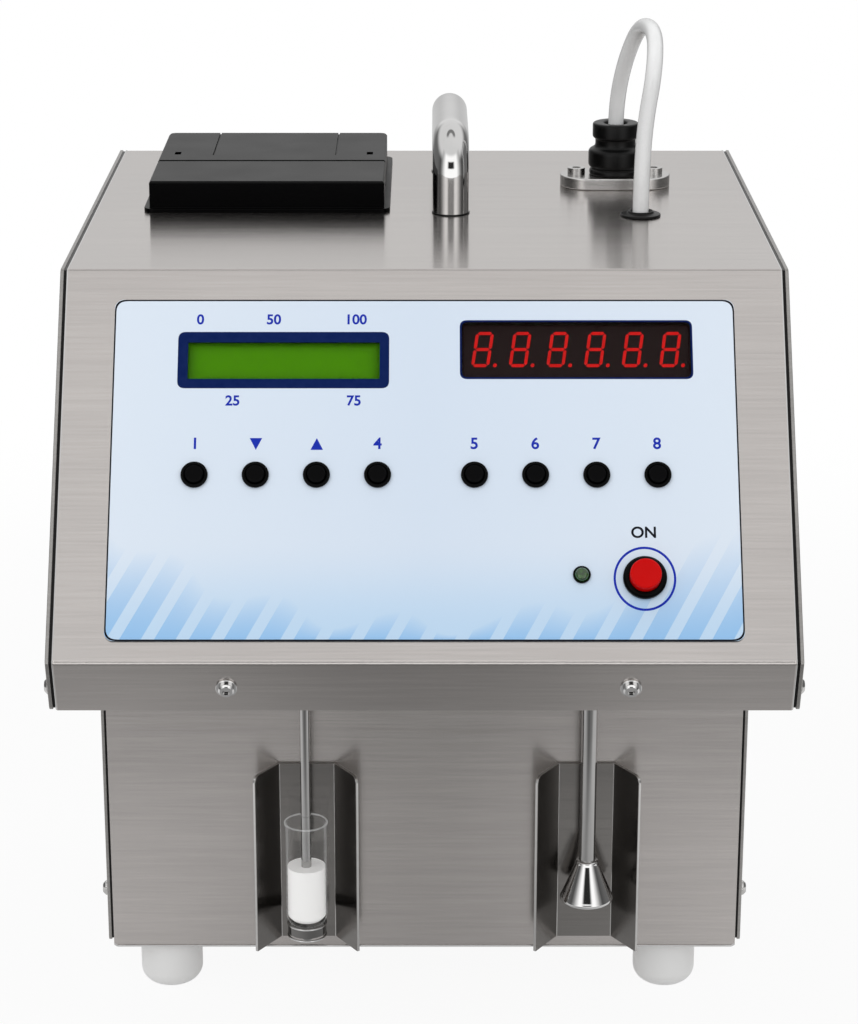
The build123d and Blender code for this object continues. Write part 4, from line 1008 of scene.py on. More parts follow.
def swept(
    name: str, path: np.ndarray, radius: float | np.ndarray, sides: int = 32
) -> Piece:
    """Carries a circle along a path, with a face across each end.

    Each ring stands square to the path. Its side vector is the one before it with its
    part along the path taken out, so the rings don't twist.

    Args:
        name: Name of the piece.
        path: One point in each row, in metres.
        radius: Radius of the circle, or one for each point.
        sides: Number of steps round.

    Returns:
        The new object.
    """
    ahead = np.gradient(path, axis=0)
    ahead /= np.linalg.norm(ahead, axis=1, keepdims=True)
    side = np.cross(ahead[0], [0.31, 0.17, 0.93])
    sides_along = []
    for step in ahead:
        side = side - step * (side @ step)
        side /= np.linalg.norm(side)
        sides_along.append(side)
    across = np.array(sides_along)
    up = np.cross(ahead, across)
    angle = np.linspace(0.0, 2 * math.pi, sides, endpoint=False)
    reach = np.broadcast_to(np.asarray(radius, float), (len(path),))[:, None, None]
    rings = path[:, None] + reach * (
        np.cos(angle)[None, :, None] * across[:, None] + np.sin(angle)[None, :, None] * up[:, None]
    )
    faces = grid_faces(len(path), sides, False, True).tolist()
    last = (len(path) - 1) * sides
    faces += [list(range(sides))[::-1], list(range(last, last + sides))]
    return make_piece(name, rings.reshape(-1, 3), faces)


def slab(
    name: str, outline: np.ndarray, face: LeaningFace, bottom: float, top: float
) -> Piece:
    """A thin filled plate on the leaning face, from one height above it to another.

    Args:
        name: Name of the piece.
        outline: One (x, drop) pair in each row, in metres.
        face: The leaning face that it lies on.
        bottom: Lower height above the face, in metres.
        top: Upper height above the face, in metres.

    Returns:
        The new object.
    """
    count = len(outline)
    points = np.vstack([face.points(outline, bottom), face.points(outline, top)])
    faces = grid_faces(2, count, False, True).tolist()
    faces += [list(range(count))[::-1], list(range(count, 2 * count))]
    return make_piece(name, points, faces, None)


def frame_slab(
    name: str, outer: np.ndarray, inner: np.ndarray, face: LeaningFace, bottom: float, top: float
) -> Piece:
    """A thin ring-shaped plate on the leaning face, between two outlines of equal count.

    Args:
        name: Name of the piece.
        outer: Outer outline, one (x, drop) pair in each row.
        inner: Inner outline, with as many rows.
        face: The leaning face that it lies on.
        bottom: Lower height above the face, in metres.
        top: Upper height above the face, in metres.

    Returns:
        The new object.
    """
    loops = [
        face.points(outer, bottom),
        face.points(outer, top),
        face.points(inner, top),
        face.points(inner, bottom),
    ]
    return make_piece(name, np.vstack(loops), grid_faces(4, len(outer), True, True), None)


def rounded_box(
    middle: Pair, size: Pair, corner: float, steps: int = 6
) -> np.ndarray:
    """Outline of a rectangle with round corners, as flat points.

    Args:
        middle: Middle of the rectangle.
        size: Its width and its height.
        corner: Length cut from each side at a corner.
        steps: Number of steps in a corner.

    Returns:
        One flat point in each row.
    """
    half = np.array(size) / 2
    signs = np.array([[-1, -1], [1, -1], [1, 1], [-1, 1]])
    return soft_outline(np.array(middle) + signs * half, corner, steps, closed=True)


def circle(middle: Pair, radius: float, count: int = 72) -> np.ndarray:
    """Outline of a circle, as flat points."""
    angle = np.linspace(0.0, 2 * math.pi, count, endpoint=False)
    return np.array(middle) + radius * np.column_stack([np.cos(angle), np.sin(angle)])


def skin(
    node: str, bevel: float = 0.25 * MM, angle: float = 32.0, segments: int = 2
) -> Piece:
    """A smooth-shaded copy of a CAD node with softened edges, which replaces it.

    The copy's doubles are merged and its flat regions dissolved, then a small bevel
    catches the light on each sharp edge, and weighted normals keep flat faces flat.

    Args:
        node: Name of the CAD node.
        bevel: Width of the softened edges, in metres.
        angle: Angle in degrees above which an edge is softened.
        segments: Number of faces across an edge.

    Returns:
        The new object.
    """
    source = frame["nodes"][node]
    shell = bmesh.new()
    shell.from_mesh(source.data)
    bmesh.ops.remove_doubles(shell, verts=shell.verts, dist=2e-6)
    bmesh.ops.dissolve_limit(
        shell, angle_limit=math.radians(0.6), verts=shell.verts, edges=shell.edges
    )
    mesh = bpy.data.meshes.new(node + "_skin")
    shell.to_mesh(mesh)
    shell.free()
    smooth_shaded(mesh, angle)
    piece = place_in_scene(node + "_skin", mesh)
    if bevel:
        modifier = piece.modifiers.new("soft_edges", "BEVEL")
        modifier.width = bevel
        modifier.segments = segments
        modifier.limit_method = "ANGLE"
        modifier.angle_limit = math.radians(angle)
    weighted = piece.modifiers.new("flat_faces", "WEIGHTED_NORMAL")
    weighted.keep_sharp = True
    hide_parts(node)
    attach(piece, body_of(node))
    return piece


def turned_skin(
    name: str, node: str, corners: np.ndarray, soft: float, steps: int, base: float,
    material: Material, segments: int = 72,
) -> None:
    """Turns a softened profile about a CAD node's upright axis, to stand for that node.

    Args:
        name: Name of the new piece.
        node: The CAD node.
        corners: Corners of the profile as (radius, height) rows in millimetres.
        soft: Reach of the corners' curves, in metres.
        steps: Steps in each curve.
        base: Height at which the profile's zero lies.
        material: The piece's finish.
        segments: Steps round the axis.
    """
    x, y = middle_of(node)[:2]
    profile = soft_outline(corners * MM, soft, steps)
    stand_in(turned(name, profile, (x, y, base), segments=segments), node, material)


def body_of(node: str) -> str:
    """Name of the body that a CAD node belongs to.

    Args:
        node: Name of the CAD node.

    Returns:
        The body's name.
    """
    for body, members in frame["record"]["behaviour"]["bodies"].items():
        if node in members:
            return body
    raise ValueError(node)


def dress(piece: Piece, material: Material) -> None:
    """Gives a piece one material."""
    piece.data.materials.clear()
    piece.data.materials.append(material)


def second_finish(
    piece: Piece, material: Material,
    chosen: Callable[[np.ndarray], np.ndarray],
) -> None:
    """Adds a finish to a dressed piece for the faces that a test of their normals picks.

    Args:
        piece: The piece, which has its main finish.
        material: The finish to add.
        chosen: Takes the normals, one in each row, and returns True for the faces to change.
    """
    slot = len(piece.data.materials)
    piece.data.materials.append(material)
    faces = piece.data.polygons
    normals = np.empty(len(faces) * 3, np.float32)
    index = np.empty(len(faces), np.int32)
    faces.foreach_get("normal", normals)
    faces.foreach_get("material_index", index)
    index[chosen(normals.reshape(-1, 3))] = slot
    faces.foreach_set("material_index", index)


def stand_in(piece: Piece, node: str, material: Material) -> None:
    """Dresses a new piece and lets it stand for a CAD node on that node's body.

    Args:
        piece: The new piece.
        node: Name of the CAD node that it replaces.
        material: Material for all its faces.
    """
    dress(piece, material)
    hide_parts(node)
    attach(piece, body_of(node))


def corners_of(node: str) -> tuple[np.ndarray, np.ndarray]:
    """Lowest and highest corner of a CAD node's box."""
    low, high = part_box(node)
    return np.array(low), np.array(high)


def middle_of(node: str) -> np.ndarray:
    """Middle of a CAD node's box."""
    low, high = corners_of(node)
    return (low + high) / 2


def add_on(piece: Piece, material: Material, body: str = "cabinet") -> None:
    """Dresses a piece that the CAD doesn't have and body it belongs to.

    Args:
        piece: The new piece.
        material: Material for all its faces.
        body: Name of the body that carries it.
    """
    dress(piece, material)
    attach(piece, body)


def node_points(node: str) -> np.ndarray:
    """All points of a CAD node's mesh.

    Args:
        node: Name of the CAD node.

    Returns:
        One point in each row, in metres.
    """
    mesh = frame["nodes"][node].data
    flat = np.empty(len(mesh.vertices) * 3, np.float32)
    mesh.vertices.foreach_get("co", flat)
    return flat.reshape(-1, 3).astype(float)


def joined(name: str, parts: Sequence[Piece]) -> Piece:
    """Joins several new pieces into one mesh object.

    Args:
        name: Name of the piece.
        parts: The pieces to join.

    Returns:
        The one object that is left.
    """
    shell = bmesh.new()
    for part in parts:
        shell.from_mesh(part.data)
        bpy.data.objects.remove(part)
    mesh = bpy.data.meshes.new(name)
    shell.to_mesh(mesh)
    shell.free()
    smooth_shaded(mesh, 40.0)
    return place_in_scene(name, mesh)


# Sub-assemblies


def made(finish: Finish) -> Material:
    """A palette's field, whose material is built with the palette."""
    return field(default_factory=finish.make)


@dataclass
class Palette:
    """Every finish of the analyzer, made once."""

    cover: Material = made(BrushedSteel("brushed_cover"))
    chassis: Material = made(BrushedSteel("brushed_chassis", roughness=(0.18, 0.27), stretch=0.7))
    plate: Material = made(BrushedSteel("brushed_side", grain=Grain.FORE_AFT))
    # The holders' steel is darker than the cabinet's: painted shade for the recess under the head.
    holder: Material = made(BrushedSteel(
        "brushed_holder_shaded", light=(0.27, 0.258, 0.247), dark=(0.205, 0.196, 0.188),
        roughness=(0.12, 0.19), stretch=0.6, depth=0.000004,
    ))
    cut_edge: Material = made(BrushedSteel(
        "cut_edge", light=(0.42, 0.41, 0.395), dark=(0.29, 0.28, 0.27), roughness=(0.3, 0.42),
        stretch=0.0,
    ))
    bright: Material = made(BrushedSteel(
        "bright_steel", light=(0.66, 0.65, 0.64), dark=(0.54, 0.53, 0.52), roughness=(0.16, 0.26),
        scale=2600.0,
    ))
    polished: Material = made(PolishedSteel("polished_steel"))
    # A darker copy of the polished steel: painted shade for the vial seat down in its holder.
    dark_polished: Material = made(PolishedSteel("dark_polished", (0.20, 0.195, 0.19)))
    # The rods' polished steel is darker than the other polished steel: painted shade for the rods
    # hanging under the head.
    rod: Material = made(PolishedSteel("rod_steel_shaded", (0.43, 0.425, 0.42)))
    # A glowing pale glass bead over the vial's rim, as a painted highlight.
    rim: Material = made(ThinGlass("rim_highlight_glass", clear=0.2, edge=1.0, glow=0.3))
    rubber: Material = made(Moulded(
        "black_rubber", (0.002, 0.002, 0.002), (0.26, 0.40), specular=0.2,
    ))
    key_plastic: Material = made(Moulded(
        "key_plastic", (0.0006, 0.0006, 0.0008), (0.18, 0.28), grain_strength=0.05, specular=0.06,
    ))
    bezel_plastic: Material = made(Moulded(
        "bezel_plastic", (0.0006, 0.0006, 0.0006), (0.24, 0.36), grain_strength=0.06,
        specular=0.07,
    ))
    printer_plastic: Material = made(Moulded(
        "printer_plastic", (0.0006, 0.0006, 0.0006), (0.32, 0.42), grain_strength=0.08,
        specular=0.12,
    ))
    # The feet's plastic has a painted glow that lifts them out of the shade under the cabinet; the
    # pump rotor shares it.
    white_plastic: Material = made(Moulded(
        "foot_plastic", (0.90, 0.90, 0.895), (0.35, 0.5), tint=1.04, grain_strength=0.05,
        glow=0.10,
    ))
    red_plastic: Material = made(Moulded(
        "red_plastic", (0.58, 0.001, 0.001), (0.22, 0.30), tint=1.1, grain_strength=0.03,
        specular=0.10,
    ))
    paper: Material = made(Moulded("paper", (0.80, 0.79, 0.76), (0.8, 0.9), tint=1.05))
    board: Material = made(Board("circuit_board"))
    brass: Material = made(PolishedSteel("nickelled_brass", (0.72, 0.62, 0.45), (0.2, 0.3)))
    alloy: Material = made(Moulded("cast_alloy", (0.42, 0.43, 0.44), (0.4, 0.55), specular=0.8))
    motor: Material = made(Moulded("motor_paint", (0.05, 0.05, 0.055), (0.35, 0.5), coat=0.2))
    # The vial glass has painted highlights: pale, glowing edges.
    glass: Material = made(ThinGlass("vial_glass"))
    # The milk has a painted glow that keeps it white in the shade under the head.
    milk: Material = made(Moulded(
        "milk", (0.93, 0.925, 0.915), (0.25, 0.3), tint=1.03, grain_strength=0.0, glow=0.26,
    ))
    hose: Material = made(MilkyHose("hose_silicone"))
    ink_black: Material = made(Ink("ink_black", (0.004, 0.005, 0.010)))
    ink_blue: Material = made(Ink("ink_blue", (0.010, 0.030, 0.42)))
    ink_navy: Material = made(Ink("ink_navy", (0.0005, 0.011, 0.085)))


@dataclass
class Cabinet:
    """Bent sheets, side plates, edge strips, fasteners and feet."""

    paint: Palette
    foot_round: float = 6.5 * MM
    lip_normal: Triple = (0.0, -0.9447, -0.3279)
    socket_reach: float = 1.7 * MM
    socket_radius: float = 1.3 * MM
    socket_floor: float = 0.35 * MM
    edge_half: float = 122.5 * MM
    edge_round: float = 1.2 * MM
    bead: float = 0.45 * MM
    cover_line: tuple[Pair, ...] = (
        (142.3, 313.1), (-67.19, 313.1), (-148.87, 200.19), (-142.37, 181.45),
    )
    box_line: tuple[Pair, ...] = ((1.95, 180.0), (1.95, 22.0))

    def build(self) -> None:
        """Skins the sheet metal and turns the feet."""
        dress(skin("top_cover", 0.2 * MM, 30.0), self.paint.cover)
        dress(skin("base_chassis", 0.2 * MM, 30.0), self.paint.chassis)
        dress(skin("rear_panel", 0.2 * MM), self.paint.cover)
        for side in ("left", "right"):
            plate = skin(f"{side}_side_plate", 0.25 * MM, 30.0)
            dress(plate, self.paint.plate)
            second_finish(plate, self.paint.cut_edge, lambda normals: np.abs(normals[:, 0]) < 0.7)
        dress(skin("side_gaskets", 0.0, 30.0), self.paint.rubber)
        for node in ("case_screws", "socket_screws"):
            dress(skin(node, 0.12 * MM), self.paint.bright)
        for node in ("lip_screws", "lip_washers"):
            dress(skin(node, 0.2 * MM), self.paint.polished)
        self.screw_sockets()
        self.rubbed_edges()
        self.feet()

    def screw_sockets(self) -> None:
        """Puts a black disc at the bottom of the hexagon socket of each lip screw, as painted
        shade in the recess.
        """
        points = node_points("lip_screws")
        out = np.array(self.lip_normal)
        height = points @ out
        size = [self.socket_radius, self.socket_floor]
        profile = np.array([[0, 0], [1, 0], [1, 1], [0, 1]]) * size
        shadow_discs = []
        for side in (-1.0, 1.0):
            own = points[:, 0] * side > 0
            top = points[own & (height > height[own].max() - 0.05 * MM)]
            place = (top.min(0) + top.max(0)) / 2 - self.socket_reach * out
            shadow_discs.append(turned("floor", profile, place, out, 24))
        piece = joined("screw_socket_shadow_discs", shadow_discs)
        add_on(piece, self.paint.rubber)

    def rubbed_edges(self) -> None:
        """Runs a fine polished bead along the cover's side and lip edges and the box's edges, as a
        painted highlight on their rounded bends.

        Each line goes down the left side, straight across and up the right side, with its
        corners rounded.
        """
        half = self.edge_half
        lines = {"cover_highlight_bead": self.cover_line, "box_highlight_bead": self.box_line}
        for name, side in lines.items():
            left = np.array([(-half, y, z) for y, z in side]) * [1.0, MM, MM]
            path = np.vstack([left, left[::-1] * [-1.0, 1.0, 1.0]])
            piece = swept(name, soft_outline(path, self.edge_round, 5), self.bead, 12)
            # Polished beads: painted highlights along the bends.
            add_on(piece, self.paint.polished)

    def feet(self) -> None:
        """Turns the four feet from one profile: a wall and a quarter circle under it."""
        low, high = corners_of("feet")
        height = high[2] - low[2]
        radius = self.foot_radius(low)
        angle = np.linspace(-math.pi / 2, 0.0, 13)
        corner = self.foot_round * np.column_stack([np.cos(angle), np.sin(angle)])
        corner += [radius - self.foot_round, self.foot_round]
        wall = [[radius, height - 0.4 * MM], [radius - 0.4 * MM, height], [0.0, height]]
        profile = np.vstack([[[0.0, 0.0]], corner, wall])
        places = [
            (x, y)
            for x in (low[0] + radius, high[0] - radius)
            for y in (low[1] + radius, high[1] - radius)
        ]
        rings = [turned("foot", profile, (x, y, low[2])) for x, y in places]
        stand_in(joined("feet_skin", rings), "feet", self.paint.white_plastic)

    @staticmethod
    def foot_radius(low: np.ndarray) -> float:
        """Radius of a foot, from the points near the lowest corner of all the feet.

        Args:
            low: Lowest corner of all the feet, in metres.

        Returns:
            The radius, in metres.
        """
        points = node_points("feet")
        near = points[(points[:, 0] < 0) & (points[:, 1] < low[1] + 50 * MM)]
        return float(near[:, 0].max() - near[:, 0].min()) / 2


@dataclass
class FrontPanel:
    """Overlay, displays, keys, push button, lamp and the prints round them."""

    paint: Palette
    face: LeaningFace
    film: float = 0.8 * MM
    ink: float = 0.04 * MM
    lcd_frame: Pair = (71.8 * MM, 20.4 * MM)
    lcd_middle: Pair = (-47.9 * MM, 33.6 * MM)
    window_middle: Pair = (-47.8 * MM, 33.8 * MM)
    lcd_window: Pair = (65.2 * MM, 13.2 * MM)
    led_middle: Pair = (51.6 * MM, 29.8 * MM)
    led_opening: Pair = (79.1 * MM, 21.3 * MM)
    led_window: Pair = (77.9 * MM, 20.1 * MM)
    digit_middle: Pair = (51.8 * MM, 28.95 * MM)
    digit_pitch: float = 12.8 * MM
    digit_size: Pair = (5.1 * MM, 11.7 * MM)
    digit_bar: float = 1.05 * MM
    digit_slant: float = 0.146
    digit_levels: Pair = (-1.5 * MM, -1.25 * MM)
    digit_gap: float = 0.22 * MM
    point_place: Pair = (5.0 * MM, 5.75 * MM)
    point_radius: float = 0.65 * MM
    overlay_start: float = 11.6 * MM
    overlay_size: Pair = (211.4 * MM, 120.8 * MM)
    overlay_corner: float = 3.9 * MM
    border_hair: float = 0.01 * MM
    border_width: float = 0.5 * MM
    key_drop: float = 74.8 * MM
    key_pitch: float = 20.5 * MM
    key_groups: Pair = (-46.5 * MM, 47.5 * MM)
    label_drop: float = 63.75 * MM
    label_size: float = 5.6 * MM
    arrow_reach: float = 2.1 * MM
    scale_size: float = 5.0 * MM
    push_label_size: float = 5.4 * MM
    scale_drops: Pair = (19.0 * MM, 48.4 * MM)
    push_label_drop: float = 95.1 * MM
    push_place: Pair = (73.1 * MM, 110.8 * MM)
    push_ring: Pair = (10.4 * MM, 9.65 * MM)
    ring_stretch: float = 1.068
    ring_drop: float = 0.2 * MM
    lamp_place: Pair = (52.2 * MM, 109.7 * MM)

    def build(self) -> None:
        """Builds the panel from the film up."""
        self.film_and_windows()
        self.prints()
        self.labels()
        self.keys()
        self.push_button()
        self.lamp()

    def film_and_windows(self) -> None:
        """Dresses the overlay, the text display and the number display."""
        width, height = self.overlay_size
        film = PanelFilm("panel_film", self.face, width / 2, self.overlay_start, height).make()
        overlay = skin("front_overlay", 0.0)
        dress(overlay, film)
        out = self.face.normal
        # The overlay's cut edges are inked black: painted shade along its edge.
        second_finish(overlay, self.paint.ink_black, lambda normals: np.abs(normals @ out) < 0.5)
        outer = self.led_box(self.led_opening, 2.0 * MM, 0.5 * MM)
        inner = self.led_box(self.led_window, 1.0 * MM, 2.4 * MM)
        top = self.film + self.ink / 2
        self.lay(frame_slab("led_mask_print", outer, inner, self.face, self.film, top), film)
        half = (self.lcd_window[0] / 2, self.lcd_window[1] / 2)
        nodes = frame["nodes"]
        green = DisplayGlass("lcd_green", self.face, self.window_middle, half)
        dress(nodes["lcd_glass"], green.make())
        dress(nodes["lcd_window"], ClearGlass("lcd_pane", index=1.03).make())
        dress(nodes["lcd_module"], self.paint.bezel_plastic)
        pane = Sheet("led_pane")
        pane.uneven(80.0, (0.10, 0.16))
        pane.set(Base_Color=(0.012, 0.003, 0.003), Alpha=0.3, Specular_IOR_Level=0.08)
        dress(nodes["led_filter"], pane.material)
        block = Moulded("digit_block", (0.010, 0.0035, 0.003), (0.5, 0.6), grain_strength=0.02)
        dress(nodes["digit_display"], block.make())
        red = Lamp("lit_red", (0.85, 0.006, 0.004), 1.05)
        stand_in(self.digits(), "digit_segments", red.make())

    def led_box(self, size: Pair, more: float, corner: float) -> np.ndarray:
        """Outline about the number display, larger than a size by the same amount each way."""
        return rounded_box(self.led_middle, tuple(side + more for side in size), corner)

    def digits(self) -> Piece:
        """Shapes the lit bars and points of the six digits.

        A bar is a hexagon about the line from P to Q, with t along it and n across it:
        P, P + (t + n) b/2, Q - (t - n) b/2, Q, Q - (t + n) b/2, P + (t - n) b/2. All points
        then lean to the right by the slant times their height.

        Returns:
            The new object.
        """
        w, h = np.array(self.digit_size) / 2
        left, right = [-w, -h], [w, -h]
        starts = np.array([left, [-w, 0], [-w, h], left, right, [-w, 0], [w, 0]])
        ends = np.array([right, [w, 0], [w, h], [-w, 0], [w, 0], [-w, h], [w, h]])
        t = (ends - starts) / np.linalg.norm(ends - starts, axis=1, keepdims=True)
        n = np.column_stack([-t[:, 1], t[:, 0]])
        b = self.digit_bar / 2
        starts, ends = starts + t * self.digit_gap, ends - t * self.digit_gap
        bars = np.stack([
            starts, starts + (t + n) * b, ends - (t - n) * b,
            ends, ends - (t + n) * b, starts + (t - n) * b,
        ], 1)
        parts = []
        point = circle(self.point_place, self.point_radius, 16)
        for place in range(6):
            shift = np.array([(place - 2.5) * self.digit_pitch, 0.0])
            for outline in [shape + shift for shape in (*bars, point)]:
                lean = np.column_stack([-self.digit_slant * outline[:, 1], np.zeros(len(outline))])
                flat = outline + lean + self.digit_middle
                parts.append(slab("bar", flat, self.face, *self.digit_levels))
        return joined("digit_bars", parts)

    def prints(self) -> None:
        """Prints the frames round the displays, the dark line round the overlay's edge as a
        painted shadow, and the button's ring.
        """
        top = self.film + self.ink
        frames = {
            "lcd_frame_print": (
                rounded_box(self.lcd_middle, self.lcd_frame, 2.6 * MM),
                rounded_box(self.window_middle, self.lcd_window, 0.3 * MM),
                self.paint.ink_navy,
            ),
            "led_frame_print": (
                self.led_box(self.led_window, 1.3 * MM, 2.5 * MM),
                self.led_box(self.led_window, 0.0, 2.0 * MM),
                self.paint.ink_navy,
            ),
            # The black line round the overlay's edge is a painted shadow of its raised edge.
            "border_shadow_line": (
                self.border(0.0),
                self.border(self.border_width),
                self.paint.ink_black,
            ),
            "push_ring_print": (
                self.tall_circle(self.push_ring[0]),
                self.tall_circle(self.push_ring[1]),
                self.paint.ink_blue,
            ),
        }
        for name, (outer, inner, ink) in frames.items():
            piece = frame_slab(name, outer, inner, self.face, self.film, top)
            self.lay(piece, ink)

    def tall_circle(self, radius: float) -> np.ndarray:
        """Outline of the button's ring, a little taller than wide.

        Args:
            radius: Radius across, in metres.

        Returns:
            One (x, drop) pair in each row.
        """
        x, drop = self.push_place
        ring = circle((0.0, 0.0), radius) * [1.0, self.ring_stretch]
        return ring + [x, drop + self.ring_drop]

    def border(self, inset: float) -> np.ndarray:
        """Outline of the overlay, drawn in by an inset and a hair from its edge.

        Args:
            inset: How much further in than the hair, in metres.

        Returns:
            One (x, drop) pair in each row.
        """
        width, height = self.overlay_size
        hair = self.border_hair + inset
        middle = (0.0, self.overlay_start + height / 2)
        size = (width - 2 * hair, height - 2 * hair)
        return rounded_box(middle, size, self.overlay_corner)

    def lay(self, piece: Piece, material: Material) -> None:
        """Dresses a print and fixes it to the cabinet."""
        add_on(piece, material)

    def text(
        self, name: str, words: str, x: float, drop: float, size: float,
        ink: Material, weight: float = 0.12 * MM,
    ) -> None:
        """Sets a short number or word on the film, as a thin solid.

        Args:
            name: Name of the piece.
            words: What is set.
            x: Middle across the face, in metres.
            drop: Middle down the face, in metres.
            size: Height of the letters' body, in metres.
            ink: Material of the print.
            weight: How much the strokes are thickened, in metres.
        """
        curve = bpy.data.curves.new(name, "FONT")
        curve.body = words
        curve.size = size
        curve.align_x = "CENTER"
        curve.align_y = "CENTER"
        curve.offset = weight
        curve.extrude = self.ink / 2
        writing = place_in_scene(name, curve)
        bpy.context.view_layer.update()
        mesh = bpy.data.meshes.new_from_object(
            writing.evaluated_get(bpy.context.evaluated_depsgraph_get())
        )
        bpy.data.objects.remove(writing)
        mesh.transform(self.face.matrix(x, drop, self.film + self.ink / 2))
        mesh.name = name
        self.lay(place_in_scene(name, mesh), ink)

    def labels(self) -> None:
        """Prints plain numbers and arrows above the keys and round the text display."""
        blue, black = self.paint.ink_blue, self.paint.ink_black
        arrows = {2: self.arrow_reach, 3: -self.arrow_reach}
        for index, group in enumerate(self.key_groups):
            for place in range(4):
                x = group + (place - 1.5) * self.key_pitch
                number = index * 4 + place + 1
                if number in arrows:
                    self.arrow(f"arrow_print_{number}", x, arrows[number])
                else:
                    self.text(
                        f"key_print_{number}", str(number), x, self.label_drop,
                        self.label_size, blue,
                    )
        above, below = self.scale_drops
        scale = [
            ("0", -28.5, above), ("50", -3.5, above), ("100", 24.5, above),
            ("25", -17.0, below), ("75", 24.0, below),
        ]
        for words, shift, drop in scale:
            x = self.lcd_middle[0] + shift * MM
            self.text(f"scale_print_{words}", words, x, drop, self.scale_size, blue)
        self.text(
            "push_print", "ON", self.push_place[0], self.push_label_drop,
            self.push_label_size, black,
        )

    def arrow(self, name: str, x: float, reach: float) -> None:
        """Prints a solid triangle that points down for a positive reach.

        Args:
            name: Name of the piece.
            x: Middle across the face, in metres.
            reach: Length from the middle to the tip, in metres.
        """
        half = self.arrow_reach
        outline = [x, self.label_drop] + np.array([[-half, -reach], [half, -reach], [0.0, reach]])
        top = self.film + self.ink
        self.lay(slab(name, outline, self.face, self.film, top), self.paint.ink_blue)

    def keys(self) -> None:
        """Turns the caps with a soft crown and the bezels with a rolled lip."""
        cap = soft_outline(MM * np.array([
            [0.0, -2.8], [3.25, -2.8], [3.25, 2.2], [2.6, 2.72], [0.0, 2.45],
        ]), 0.9 * MM, 6)
        plunger = soft_outline(MM * np.array([
            [0.0, -5.75], [1.2, -5.75], [1.2, -2.7], [0.0, -2.7],
        ]), 0.1 * MM, 2)
        ring = soft_outline(MM * np.array([
            [4.55, 0.8], [4.55, 1.9], [3.4, 1.9], [3.4, -3.2], [3.9, -3.2], [3.9, 0.8],
        ]), 0.38 * MM, 4, closed=True)
        bezels = []
        for index in range(8):
            group, place = divmod(index, 4)
            x = self.key_groups[group] + (place - 1.5) * self.key_pitch
            base = self.face.points(np.array([[x, self.key_drop]]), 0.0)[0]
            piece = joined(f"key_{index + 1}_skin", [
                turned("cap", cap, base, self.face.normal, 48),
                turned("plunger", plunger, base, self.face.normal, 24),
            ])
            stand_in(piece, f"key_{index + 1}", self.paint.key_plastic)
            bezels.append(turned("bezel", ring, base, self.face.normal, 48))
        stand_in(joined("key_bezels_skin", bezels), "key_bezels", self.paint.bezel_plastic)

    def push_button(self) -> None:
        """Turns the red cap with a shallow dish and dresses its threaded bezel."""
        base = self.face.points(np.array([self.push_place]), 0.0)[0]
        cap = soft_outline(np.array([
            [0.0, -5.2], [5.25, -5.2], [5.25, 6.7], [4.1, 6.7], [0.0, 6.1],
        ]) * MM, 0.8 * MM, 6)
        button = turned("push_cap_skin", cap, base, self.face.normal)
        stand_in(button, "push_cap", self.paint.red_plastic)
        dress(skin("push_bezel", 0.15 * MM, 25.0), self.paint.bezel_plastic)

    def lamp(self) -> None:
        """Turns the green dome and its clip."""
        base = self.face.points(np.array([self.lamp_place]), 0.0)[0]
        dome = soft_outline(np.array([
            [0.0, -5.2], [2.5, -5.2], [2.5, 1.6], [1.7, 2.9], [0.0, 2.9],
        ]) * MM, 1.4 * MM, 8)
        lens = Sheet("green_lens")
        patch = lens.patches(900.0)
        lens.feed("Base Color", lens.ramp(patch, [
            (0.2, (0.004, 0.030, 0.002)), (0.8, (0.022, 0.10, 0.005))]))
        lens.set(Coat_Weight=1.0, Coat_Roughness=0.03, Roughness=0.25)
        glass = turned("lamp_skin", dome, base, self.face.normal, 48)
        stand_in(glass, "indicator_lamp", lens.material)
        dress(skin("lamp_clip", 0.1 * MM), self.paint.bezel_plastic)


